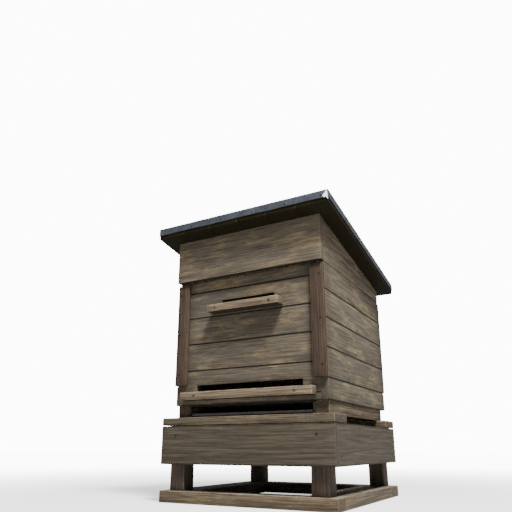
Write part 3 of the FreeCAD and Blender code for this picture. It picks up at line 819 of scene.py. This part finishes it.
# %% Build the four walls
# A slit's width, the height of its foot in the wall, and its own height.
SLITS = [(347.0 * MM, 36.5 * MM, 21.0 * MM), (180.0 * MM, 292.0 * MM, 20.0 * MM)]
LEDGE_DEPTH = 18.0 * MM
LEDGE_WIDTH = 11.0 * MM
box_bottom, box_top = wall_low.z, wall_high.z


def wall_levels(top_cover):
    levels = [box_top, box_top - top_cover]
    while levels[-1] - BOARD_COVER > box_bottom:
        levels.append(levels[-1] - BOARD_COVER)
    return [box_bottom] + levels[::-1]


def openings_of(side, low, high):
    """The blocks cut out of a wall, as pairs of corners."""
    blocks = []
    if side == "front":
        for width, foot, height in SLITS:
            z0 = box_bottom + foot
            blocks.append((Vector((-width / 2, low.y - PAST, z0)), Vector((width / 2, high.y + PAST, z0 + height))))
    ledge = {"front": (high.y - LEDGE_WIDTH, high.y + PAST), "back": (low.y - PAST, low.y + LEDGE_WIDTH)}.get(side)
    if ledge:
        blocks.append((Vector((-1, ledge[0], box_top - LEDGE_DEPTH)), Vector((1, ledge[1], box_top + PAST))))
    return blocks


def build_wall(side):
    low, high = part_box("box_wall_" + side)
    along = GRAIN[side]
    levels = wall_levels(TOP_COVER[along])
    face, inwards = {"front": (low.y, 1), "back": (high.y, -1), "left": (low.x, 1), "right": (high.x, -1)}[side]
    boards = []
    for i, (z0, z1) in enumerate(zip(levels, levels[1:])):
        section = wall_section(z0, z1, i == 0, i == len(levels) - 2)
        outline = [(face + inwards * depth, height) for depth, height in section]
        board = sweep(side + "_board", outline, along, low[AXIS[along]], high[AXIS[along]])
        for corners in openings_of(side, low, high):
            if corners[0].z < z1 + TONGUE_HEIGHT and corners[1].z > z0:
                cut_out(board, block(*corners))
        boards.append(finish_board(board, along, 0.7 * MM, 0.45 * MM, levels=(z0, z1)))
    return join("wall_boards_" + side, boards)


for side in GRAIN:
    settle(build_wall(side), "box_wood", "brood_box", "box_wall_" + side)

# %% [markdown]
# ## Battens and landing boards
#
# Corner battens cover the joints between the walls, and a landing board sits under each entrance. They were
# planed by hand and are touched most, so their edges are rounder than the wall's.

# %% Battens and landing boards
BATTENS = ["batten_" + end + "_" + side for end, _ in ENDS for side, _ in SIDES]
LANDINGS = ("landing_board_lower", "landing_board_upper")
for node in BATTENS:
    settle(timber(node + "_strip", *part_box(node), "Z", 1.3 * MM, 0.4 * MM), "batten_wood", "brood_box", node)
for node in LANDINGS:
    settle(timber(node + "_wood", *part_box(node), "X", 2.2 * MM, 0.6 * MM), "landing_wood", "brood_box", node)

# %% [markdown]
# ## Roof box
#
# Under the roof a shallow box of four boards makes up the slope: a full-height board in front, a low one behind
# and two wedges at the sides. A wedge's grain runs from front to back, but its outline is seen from the side, so
# it is swept through its thickness and marked as a board along Y.

# %% Roof box boards
HEM = 31.0 * MM
DECK = 34.0 * MM
SHEET = 2.0 * MM
CROWN_RECESS = 9.0 * MM
CROWN_PLAY = Vector((1.0 * MM, 1.0 * MM, 0))
cover_low, cover_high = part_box("roof_cover")
ROOF_FALL = (cover_high.z - cover_low.z - HEM) / (cover_high.y - cover_low.y)


def roof_top(y):
    return cover_high.z - ROOF_FALL * (y - cover_low.y)


def deck_under(y):
    return roof_top(y) - DECK - SHEET


def roof_box_board(node, along):
    """A board under the slope: its outline as seen from the side, drawn out through its width or thickness."""
    low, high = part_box(node)
    steps = max(1, round((high.y - low.y) / LOOP_STEP))
    ys = [low.y + (high.y - low.y) * i / steps for i in range(steps + 1)]
    outline = [(y, low.z) for y in ys] + [(high.y, (low.z + deck_under(high.y)) / 2)]
    outline += [(y, deck_under(y)) for y in reversed(ys)] + [(low.y, (low.z + deck_under(low.y)) / 2)]
    piece = sweep(node + "_board", outline, "X", low.x, high.x)
    crown_low, crown_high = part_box("crown_board")
    cut_out(piece, block(crown_low - CROWN_PLAY - Vector((0, 0, PAST)),
                         Vector((crown_high.x, crown_high.y, low.z + CROWN_RECESS)) + CROWN_PLAY))
    return finish_board(piece, along, 1.3 * MM, 0.45 * MM)


for side, along in GRAIN.items():
    settle(roof_box_board("roof_box_" + side, along), "roof_box_wood", "roof", "roof_box_" + side)

# %% [markdown]
# ## Roof boards
#
# Six thick boards lie side by side, running down the slope, and are seen from below. Each is a section across the
# fall, drawn out from front to back; then every loop is lowered to the slope.

# %% Roof boards
DECK_BOARDS = 6
DECK_GAP = 0.6 * MM
UNDER_SHEET = 0.2 * MM


def roof_boards():
    low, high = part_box("roof_deck")
    width = (high.x - low.x - (DECK_BOARDS - 1) * DECK_GAP) / DECK_BOARDS
    boards = []
    for i in range(DECK_BOARDS):
        x0 = low.x + i * (width + DECK_GAP)
        board = sweep("roof_board", rectangle(x0, x0 + width, 0, DECK - UNDER_SHEET), "Y", low.y, high.y)
        for vertex in board.data.vertices:
            vertex.co.z += deck_under(vertex.co.y)
        boards.append(finish_board(board, "Y", 0.8 * MM, 0.5 * MM))
    return join("roof_boards", boards)


settle(roof_boards(), "roof_deck_wood", "roof", "roof_deck")

# %% [markdown]
# ## Roof sheet
#
# A thin sheet lies over the boards and is folded down all round. A grid is laid on the slope, its rim is extruded
# down in steps to make the hem, the folds are bevelled, and Solidify gives it thickness. Between the steps the
# rim is pushed in and out a little, because a hand-folded hem is never straight.

# %% Roof sheet
SHEET_STEPS = 24
HEM_STEPS = 4
HEM_SEEN = 23.0 * MM
HOLLOW = 0.4 * MM
HOLLOW_EVERY = 98.2 * MM
WANDER = 0.5 * MM
FOLD_REACH = 6.0 * MM
SHEET_THICKNESS = 1.5 * MM


def roof_sheet_piece():
    middle, size = (cover_low + cover_high) / 2, cover_high - cover_low
    piece = add(bpy.ops.mesh.primitive_grid_add, x_subdivisions=SHEET_STEPS, y_subdivisions=SHEET_STEPS, size=1,
                location=(middle.x, middle.y, 0))
    piece.scale = (size.x, size.y, 1)
    bpy.ops.object.transform_apply(location=True, rotation=True, scale=True)
    for vertex in piece.data.vertices:
        vertex.co.z = roof_top(vertex.co.y)
    with edit_mode(piece):
        bpy.ops.mesh.region_to_loop()
        for _ in range(HEM_STEPS):
            draw_out((0, 0, -HEM_SEEN / HEM_STEPS))
    return piece


def shape_sheet(piece):
    """Hollows over the gaps between boards, and a hem that wanders. Sines of unlike lengths pass for chance."""
    side, front, back = cover_high.x - WANDER, cover_low.y + WANDER, cover_high.y - WANDER
    for vertex in piece.data.vertices:
        x, y, z = vertex.co
        if abs(x) <= side and front <= y <= back:
            vertex.co.z -= HOLLOW * (0.5 - 0.5 * math.cos(2 * math.pi * x / HOLLOW_EVERY))
            continue
        share = WANDER * min(1.0, (roof_top(y) - z) / HEM_SEEN)
        vertex.co.z += share * (math.sin(x * 31.0 + y * 17.0) + 0.6 * math.sin(x * 83.0 - y * 61.0 + 1.3))
        push = share * math.sin(x * 56.0 + y * 47.0 + 0.7)
        if abs(x) > side:
            vertex.co.x += math.copysign(push, x)
        if y < front:
            vertex.co.y -= push
        if y > back:
            vertex.co.y += push


def mark_folds(piece):
    """Attribute fold: 1 at a fold or a cut edge, falling to 0 within a few millimetres."""
    closeness = []
    for vertex in piece.data.vertices:
        x, y, z = vertex.co
        to_end = min(y - cover_low.y, cover_high.y - y)
        nearest = sorted((abs(cover_high.x - abs(x)), abs(to_end), abs(roof_top(y) - z)))[1]
        closeness.append(max(0.0, 1.0 - nearest / FOLD_REACH))
    piece.data.attributes.new("fold", "FLOAT", "POINT").data.foreach_set("value", closeness)


cover_piece = roof_sheet_piece()
shape_sheet(cover_piece)
soften(cover_piece, 2.2 * MM, 3, 50)
apply_modifier(cover_piece, "SOLIDIFY", thickness=SHEET_THICKNESS, offset=-1.0)
mark_folds(cover_piece)
smooth(cover_piece, 50)
cover_piece.name = "roof_sheet_folded"
settle(cover_piece, "roof_sheet", "roof", "roof_cover")

# %% [markdown]
# ## Torn corner of the sheet
#
# At the front right corner the sheet has cracked where it was folded, and the pale fibre inside it shows. A hole
# in the hem would show the boards instead, so the torn place is a small flake of fibre that stands just proud of
# the sheet: a circle pulled to a ragged outline, extruded to a thin plate and waved.

# %% Torn corner
# The outline, as millimetres from the sheet's upper front right corner.
TEAR = [(-6.9, -4.6), (-11.1, -11.3), (-16.6, -17.7), (-16.2, -21.6), (-12.3, -24.4), (-8.9, -22.1), (-5.5, -25.2),
        (-1.7, -32.0), (-0.6, -30.5), (-2.6, -22.8), (-1.8, -17.3), (-3.0, -10.0), (-4.8, -5.1)]
RAGGED = 0.5
PROUD = 0.9 * MM
SUNK = 0.6 * MM


def torn_corner():
    outline = []
    for (x, z), (next_x, next_z) in zip(TEAR, TEAR[1:] + TEAR[:1]):
        middle = [(a + b) / 2 + chance.uniform(-RAGGED, RAGGED) for a, b in ((x, next_x), (z, next_z))]
        outline += [(x, z), middle]
    points = [(cover_high.x + x * MM, cover_high.z + z * MM) for x, z in outline]
    piece = sweep("cover_tear", points, "Y", cover_low.y - PROUD, cover_low.y + SUNK, 0.7 * MM)
    for vertex in piece.data.vertices:
        vertex.co.y += 0.35 * MM * math.sin(vertex.co.x * 900 + vertex.co.z * 700)
    soften(piece, 0.2 * MM, 1, 30)
    smooth(piece, 25)
    return piece


material, tree, shader = new_material("torn_fibre")
crushed = cloud(tree, object_place(tree), 420.0, 4.0, 0.65)
colour = mix(tree, fade(tree, crushed, 0.56, 0.72), shade(226, 228, 230), shade(120, 124, 130))
surface(tree, shader, colour, scaled(tree, crushed, 0.2, 0.7), crushed, 0.6, 0.4 * MM)

tear_piece = torn_corner()
tear_piece.data.materials.append(material)
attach(tear_piece, "roof")
print("torn corner:", len(tear_piece.data.polygons), "faces")

# %% [markdown]
# ## Screws and nails
#
# A screw is modelled once: a short cylinder for the head, a six-lobed recess pressed into it, and a shank. A nail
# is a flattened dome on a thin shank. Each copy gets its own mesh, is turned to the way it was driven and joined
# to the others of its group. The places follow from the pieces that the screws hold.

# %% Model one screw and one nail
# Radius and thickness of a screw's head, and radius of its shank.
SCREW_HEAD = (3.6 * MM, 2.0 * MM, 1.8 * MM)
HEAD_RISE = 0.4 * MM
RECESS_INSET = 0.3
RECESS_DEPTH = 0.55
LOBE_PINCH = 0.62
POINT_LENGTH = 0.2
POINT_WIDTH = 0.15


def press_in(piece, test, action):
    """Selects the faces that pass a test in edit mode and runs an operator on them."""
    pick(piece)
    bpy.ops.object.mode_set(mode="EDIT")
    bpy.ops.mesh.select_mode(type="FACE")
    edit = bmesh.from_edit_mesh(piece.data)
    for face in edit.faces:
        face.select = test(face)
    bmesh.update_edit_mesh(piece.data)
    action()
    bpy.ops.object.mode_set(mode="OBJECT")


def model_screw(radius, thickness, shank, length):
    """Head upwards, its outer face a little over z = 0."""
    piece = add(bpy.ops.mesh.primitive_cylinder_add, vertices=12, radius=radius, depth=thickness,
                location=(0, 0, HEAD_RISE - thickness / 2))
    bpy.ops.object.transform_apply(location=True)

    def top_of_head():
        bpy.ops.mesh.inset(thickness=RECESS_INSET * radius)
        edit = bmesh.from_edit_mesh(piece.data)
        rim = sorted((v for v in edit.verts if v.select), key=lambda v: math.atan2(v.co.y, v.co.x))
        for vertex in rim[1::2]:
            vertex.co.x *= LOBE_PINCH
            vertex.co.y *= LOBE_PINCH
        bmesh.update_edit_mesh(piece.data)
        draw_out((0, 0, -RECESS_DEPTH * thickness))

    def under_head():
        bpy.ops.mesh.inset(thickness=radius - shank)
        draw_out((0, 0, -(1 - POINT_LENGTH) * length))
        draw_out((0, 0, -POINT_LENGTH * length))
        bpy.ops.transform.resize(value=(POINT_WIDTH, POINT_WIDTH, 1.0))

    press_in(piece, lambda face: face.normal.z > 0.9, top_of_head)
    press_in(piece, lambda face: face.normal.z < -0.9 and face.calc_area() > radius * radius, under_head)
    soften(piece, 0.25 * MM, 1, 60)
    smooth(piece, 40)
    return piece


def model_nail(radius, rise, shank, length):
    """A flattened dome, its rim at z = 0, on a shank."""
    piece = add(bpy.ops.mesh.primitive_uv_sphere_add, segments=12, ring_count=8, radius=radius)
    with edit_mode(piece):
        bpy.ops.transform.resize(value=(1.0, 1.0, rise / radius))
        bpy.ops.mesh.select_all(action="SELECT")
        bpy.ops.mesh.bisect(plane_co=(0, 0, -0.05 * MM), plane_no=(0, 0, 1), use_fill=True, clear_inner=True)

    def draw_shank():
        bpy.ops.mesh.inset(thickness=radius - shank)
        draw_out((0, 0, -length))

    press_in(piece, lambda face: face.normal.z < -0.9 and len(face.verts) > 8, draw_shank)
    smooth(piece, 50)
    return piece


def copy_of(model, name, placing):
    """A copy with its own mesh, moved to its place."""
    twin = bpy.data.objects.new(name, model.data.copy())
    bpy.context.scene.collection.objects.link(twin)
    twin.data.name = name
    twin.data.transform(placing)
    return twin


def drive(name, model, places):
    """One copy at each place, its head looking the given way, all joined."""
    driven = []
    for point, way in places:
        spin = Matrix.Rotation(chance.uniform(0, math.pi), 4, "Z")
        turned = Vector(way).to_track_quat("Z", "Y").to_matrix().to_4x4()
        driven.append(copy_of(model, name, Matrix.Translation(point) @ turned @ spin))
    bpy.data.objects.remove(model)
    return join(name, driven)


print("a screw's head is", 2 * SCREW_HEAD[0] / MM, "mm across")

# %% Where they are driven
NAIL_INSET = 22.0 * MM
NAILS = 6
BATTEN_SCREWS = (0.1, 0.5, 0.9)
LANDING_SCREW = 0.38

stand_low, stand_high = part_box("apron_front")[0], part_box("apron_back")[1]
plank_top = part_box("plank_front")[1].z
quarter = (stand_high.z - stand_low.z) / 4
apron_middle = (stand_high.z + stand_low.z) / 2
stand_places, box_places, nail_places = [], [], []
for end, look in ENDS:
    y_face = stand_low.y if look < 0 else stand_high.y
    for side_name, side in SIDES:
        leg_low, leg_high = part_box("leg_" + end + "_" + side_name)
        leg = (leg_low + leg_high) / 2
        stand_places += [
            (Vector((leg.x, y_face, apron_middle + quarter)), (0, look, 0)),
            (Vector((side * stand_high.x, leg.y, apron_middle - quarter)), (side, 0, 0)),
            (Vector((leg.x, leg.y, plank_top)), (0, 0, 1))]
        low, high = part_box("batten_" + end + "_" + side_name)
        for share in BATTEN_SCREWS:
            point = Vector((side * (wall_high.x + WALL / 2), low.y if look < 0 else high.y,
                            low.z + share * (high.z - low.z)))
            box_places.append((point, (0, look, 0)))
for node in LANDINGS:
    low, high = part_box(node)
    for _, side in SIDES:
        point = Vector((side * (high.x - low.x) * LANDING_SCREW, low.y, (low.z + high.z) / 2))
        box_places.append((point, (0, -1, 0)))
for i in range(NAILS):
    x, y = (cover_low[k] + NAIL_INSET + i * (cover_high[k] - cover_low[k] - 2 * NAIL_INSET) / (NAILS - 1)
            for k in (0, 1))
    for y_face, look in ((cover_low.y, -1), (cover_high.y, 1)):
        nail_places.append((Vector((x, y_face, roof_top(y_face) - HEM / 2)), (0, look, 0)))
    for _, side in SIDES:
        nail_places.append((Vector((side * cover_high.x, y, roof_top(y) - HEM / 2)), (side, 0, 0)))

screws = drive("stand_screw_set", model_screw(*SCREW_HEAD, 30 * MM), stand_places)
settle(screws, "screw_steel", "stand", "stand_screws")
screws = drive("box_screw_set", model_screw(*SCREW_HEAD, 24 * MM), box_places)
settle(screws, "screw_steel", "brood_box", "box_screws")
nails = drive("roof_nail_set", model_nail(4.0 * MM, 1.2 * MM, 1.4 * MM, 16 * MM), nail_places)
settle(nails, "nail_steel", "roof", "roof_nails")

# %% [markdown]
# ## Floor: rails, wire mesh and tray
#
# The floor is three rails under the box. The side rails have a rebate for the wire mesh and a groove for the tray.
# One wire is modelled, an Array modifier repeats it, and a second set crosses the first. The tray is a thin sheet
# with its front edge turned up, so that it can be pulled.

# %% Floor rails
MESH_PLAY = 0.5 * MM
TRAY_PLAY = 1.0 * MM
TRAY_BITE = 6.0 * MM
mesh_low, mesh_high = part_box("floor_mesh")
tray_low, tray_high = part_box("inspection_tray")
back_rail_low, back_rail_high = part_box("floor_rail_back")
rebate = (Vector((-mesh_high.x - MESH_PLAY, mesh_low.y - PAST, mesh_low.z)),
          mesh_high + Vector((MESH_PLAY, MESH_PLAY, PAST)))
groove_half = back_rail_high.x + TRAY_BITE
groove = (Vector((-groove_half, mesh_low.y - PAST, tray_low.z - TRAY_PLAY)),
          Vector((groove_half, back_rail_low.y, tray_high.z + TRAY_PLAY)))
for side, cuts in (("left", (rebate, groove)), ("right", (rebate, groove)), ("back", (rebate,))):
    node = "floor_rail_" + side
    rail = timber(node + "_timber", *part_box(node), GRAIN[side], 1.2 * MM, 0.4 * MM, cuts)
    settle(rail, "floor_wood", "floor", node)

# %% Wire mesh
WIRE_PITCH = 6.0 * MM
WIRE_RADIUS = 0.55 * MM
WIRE_MARGIN = 2.0 * MM
RIM_WIDTH = 7.0 * MM


def wire_set(along, level):
    """Parallel wires over the whole mesh: one wire, repeated."""
    here, other = (0, 1) if along == "X" else (1, 0)
    size = mesh_high - mesh_low
    span = size[other] - 2 * WIRE_MARGIN
    count = int(span / WIRE_PITCH)
    place, turn, step = (mesh_low + mesh_high) / 2, [0, 0, 0], [0, 0, 0]
    place.z = level
    place[other] = mesh_low[other] + WIRE_MARGIN + (span - (count - 1) * WIRE_PITCH) / 2
    turn[other] = math.pi / 2
    step[other] = WIRE_PITCH
    wire = add(bpy.ops.mesh.primitive_cylinder_add, vertices=6, radius=WIRE_RADIUS,
               depth=size[here] - WIRE_MARGIN, rotation=turn, location=place)
    bpy.ops.object.transform_apply(location=True, rotation=True)
    apply_modifier(wire, "ARRAY", count=count, use_relative_offset=False, use_constant_offset=True,
                   constant_offset_displace=step)
    return wire


def mesh_rim():
    """A strip round the wires, cut as a frame from one block."""
    rim = block(mesh_low, mesh_high)
    bpy.ops.object.transform_apply(location=True, scale=True)
    inner = Vector((RIM_WIDTH, RIM_WIDTH, -PAST))
    cut_out(rim, block(mesh_low + inner, mesh_high - inner))
    soften(rim, 0.5 * MM)
    return rim


middle = (mesh_low.z + mesh_high.z) / 2
wires = [mesh_rim(), wire_set("X", middle - WIRE_RADIUS), wire_set("Y", middle + WIRE_RADIUS)]
floor_wires = join("floor_wire_mesh", wires)
smooth(floor_wires, 40)
settle(floor_wires, "mesh_steel", "floor", "floor_mesh")

# %% Inspection tray
LIP_HEIGHT = 5.0 * MM
LIP_INSET = 8.0 * MM
LIP_THICKNESS = 1.5 * MM


def tray_sheet():
    """A thin plate whose front edge is extruded up into a lip and rounded."""
    tray = block(tray_low, tray_high)
    bpy.ops.object.transform_apply(location=True, scale=True)
    side, front = tray_high.x - LIP_INSET, tray_low.y + LIP_THICKNESS
    with edit_mode(tray):
        for point, normal in (((tray_low.x + LIP_INSET, 0, 0), (1, 0, 0)), ((side, 0, 0), (1, 0, 0)),
                              ((0, front, 0), (0, 1, 0))):
            bpy.ops.mesh.select_all(action="SELECT")
            bpy.ops.mesh.bisect(plane_co=point, plane_no=normal)

    def on_front_edge(face):
        middle = face.calc_center_median()
        return face.normal.z > 0.9 and middle.y < front and abs(middle.x) < side

    press_in(tray, on_front_edge, lambda: draw_out((0, 0, LIP_HEIGHT)))
    soften(tray, 0.35 * MM)
    smooth(tray)
    tray.name = "inspection_tray_sheet"
    return tray


settle(tray_sheet(), "tray_steel", "tray", "inspection_tray")

# %% [markdown]
# ## Frames and comb
#
# A frame is a top bar with two lugs, two end bars with wide shoulders, a bottom bar and a sheet of wax. One frame
# is modelled and copied for all twelve. Real cells would need thousands of faces a side, so the wax sheet is a
# gently waving grid, and the cells are a relief that its material draws, with a painted shade darkening the hollow
# of each cell. The wax is yellow, and browner where bees have walked and brood has been.

# %% Group: comb cells
ROW = math.sqrt(3)

tree, given, out = group("comb cells", {"Place": None, "Cell width": 5.4 * MM}, ["Wall", "Depth"])
part = parts(tree, given["Place"])
scaled_y, scaled_z = (calc(tree, "DIVIDE", part[k], given["Cell width"]) for k in (1, 2))
centres = []
for shift in (0.0, 0.5):
    near_y = calc(tree, "SUBTRACT", calc(tree, "FRACT", calc(tree, "ADD", scaled_y, shift)), 0.5)
    row = calc(tree, "FRACT", calc(tree, "ADD", calc(tree, "DIVIDE", scaled_z, ROW), shift))
    near_z = times(tree, calc(tree, "SUBTRACT", row, 0.5), ROW)
    flat_sides = scaled(tree, calc(tree, "ABSOLUTE", near_y), 0.5,
                        times(tree, calc(tree, "ABSOLUTE", near_z), ROW / 2))
    centres.append(calc(tree, "MAXIMUM", flat_sides, calc(tree, "ABSOLUTE", near_y)))
nearest = calc(tree, "MINIMUM", *centres)
# Painted shade: 1 in the middle of each cell, to darken its hollow as if it lay in shadow.
fill(tree, out, {"Wall": fade(tree, nearest, 0.4, 0.48), "Depth": fade(tree, nearest, 0.46, 0.3)})

# %% Wax
comb_wax, tree, shader = new_material("comb_wax")
where = object_place(tree)
cells = use(tree, "comb cells", {"Place": where})
used = cloud(tree, where, 9.0, 4.0, 0.6)
colour = coats(tree, mix(tree, fade(tree, used, 0.38, 0.66), shade(164, 116, 48), shade(88, 56, 26)),
               # Painted shade: the hollow of each cell is darkened.
               (cells["Depth"], 0.65, shade(44, 27, 14)))
surface(tree, shader, colour, scaled(tree, used, 0.2, 0.35), cells["Wall"], 0.9, 2.0 * MM)
fill(tree, shader, {"Subsurface Weight": 0.15, "Subsurface Radius": (0.004, 0.002, 0.001)})
print("wax:", len(tree.nodes), "nodes")

# %% One frame
FRAME_TOP_STEP = 4.0 * MM
LUG = 10.0 * MM
TOP_BAR = 20.0 * MM
END_BAR = 9.5 * MM
LUG_REACH = 17.0 * MM
SHOULDER = 110.0 * MM
FOOT_WIDTH = 19.0 * MM
FOOT_HEIGHT = 9.5 * MM
WAX = 4.4 * MM
WAX_WAVE = 0.7 * MM

first_low, first_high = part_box("frame_01")
frame_x, frame_half = (first_low.x + first_high.x) / 2, (first_high.x - first_low.x) / 2
top_half = frame_half - FRAME_TOP_STEP
outer = (first_low.y + LUG_REACH, first_high.y - LUG_REACH)
inner = (outer[0] + END_BAR, outer[1] - END_BAR)
foot_z, top_z = first_low.z, first_high.z


def end_bar(y0):
    """A bar with wide shoulders above and a narrow foot, drawn out through its thickness."""
    x, half, lug_z, shoulder = frame_x, frame_half, top_z - LUG, top_z - SHOULDER
    knee, halfway = shoulder - FRAME_TOP_STEP, (foot_z + shoulder) / 2
    outline = [(x - top_half, foot_z), (x + top_half, foot_z), (x + top_half, halfway), (x + top_half, knee),
               (x + half, shoulder), (x + half, lug_z), (x, lug_z), (x - half, lug_z), (x - half, shoulder),
               (x - top_half, knee), (x - top_half, halfway)]
    return finish_board(sweep("end_bar", outline, "Y", y0, y0 + END_BAR), "Z", 0.8 * MM, 0)


def long_bar(half, ends, z0, z1):
    return timber("bar", Vector((frame_x - half, ends[0], z0)), Vector((frame_x + half, ends[1], z1)), "Y",
                  0.8 * MM, 0.2 * MM)


def frame_timber():
    lugs = long_bar(top_half, (first_low.y, first_high.y), top_z - LUG, top_z)
    bar = long_bar(top_half, inner, top_z - TOP_BAR, top_z - LUG)
    foot = long_bar(FOOT_WIDTH / 2, inner, foot_z, foot_z + FOOT_HEIGHT)
    return join("frame_wood", [lugs, bar, foot, end_bar(outer[0]), end_bar(inner[1])])


def wax_sheet():
    """A grid stood upright, pushed in and out a little, and thickened."""
    z0, z1 = foot_z + FOOT_HEIGHT, top_z - TOP_BAR
    sheet = add(bpy.ops.mesh.primitive_grid_add, x_subdivisions=30, y_subdivisions=18, size=1)
    for vertex in sheet.data.vertices:
        u, v = vertex.co.x + 0.5, vertex.co.y + 0.5
        calm = min(1, 8 * u, 8 * (1 - u), 8 * v, 8 * (1 - v))
        wave = WAX_WAVE * math.sin(9 * u + 2) * math.sin(7 * v + 1) * calm
        vertex.co = (frame_x + wave, inner[0] + (inner[1] - inner[0]) * u, z0 + (z1 - z0) * v)
    apply_modifier(sheet, "SOLIDIFY", thickness=WAX, offset=0.0)
    with edit_mode(sheet):
        turn_outwards()
    smooth(sheet, 50)
    return sheet


frame_model, wax_model = frame_timber(), wax_sheet()
print("one frame:", len(frame_model.data.polygons) + len(wax_model.data.polygons), "faces")

# %% All twelve frames
SEED_STEP = 0.083
for number in range(1, 13):
    node = "frame_" + str(number).zfill(2)
    shift = Matrix.Translation((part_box(node)[0].x - first_low.x, 0, 0))
    bars = copy_of(frame_model, node + "_bars", shift)
    seeds = bars.data.attributes["board_seed"].data
    values = [0.0] * len(seeds)
    seeds.foreach_get("value", values)
    seeds.foreach_set("value", [(value + number * SEED_STEP) % 1.0 for value in values])
    settle(bars, "frame_pine", node, node)
    comb = copy_of(wax_model, node + "_comb", shift)
    comb.data.materials.append(comb_wax)
    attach(comb, node)
bpy.data.objects.remove(frame_model)
bpy.data.objects.remove(wax_model)

# %% [markdown]
# ## Crown board
#
# The crown board is a thin sheet of plywood with a round-ended slot for feeding. A cylinder whose two halves are
# pulled apart makes the cutter for the slot.

# %% Crown board
CROWN_INSET = Vector((2.0 * MM, 2.0 * MM, 0))
SLOT_RADIUS = 15.0 * MM
SLOT_STRETCH = 30.0 * MM
CUTTER_DEPTH = 0.04
PLY_LUMPS = 0.12


def crown_sheet():
    low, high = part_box("crown_board")
    low, high = low + CROWN_INSET, high - CROWN_INSET
    piece = sweep("crown_board_sheet", rectangle(low.y, high.y, low.z, high.z), "X", low.x, high.x)
    middle = sum(corner.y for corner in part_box("box_wall_left")) / 2
    cutter = add(bpy.ops.mesh.primitive_cylinder_add, vertices=32, radius=SLOT_RADIUS, depth=CUTTER_DEPTH)
    for vertex in cutter.data.vertices:
        vertex.co.y += math.copysign(SLOT_STRETCH, vertex.co.y)
        vertex.co += Vector((0, middle, (low.z + high.z) / 2))
    cut_out(piece, cutter)
    return finish_board(piece, "Y", 0.6 * MM, 0.2 * MM, PLY_LUMPS)


settle(crown_sheet(), "crown_ply", "crown", "crown_board")

# %% [markdown]
# ## The CAD box
#
# The CAD model's box is measured and printed in the first cell.
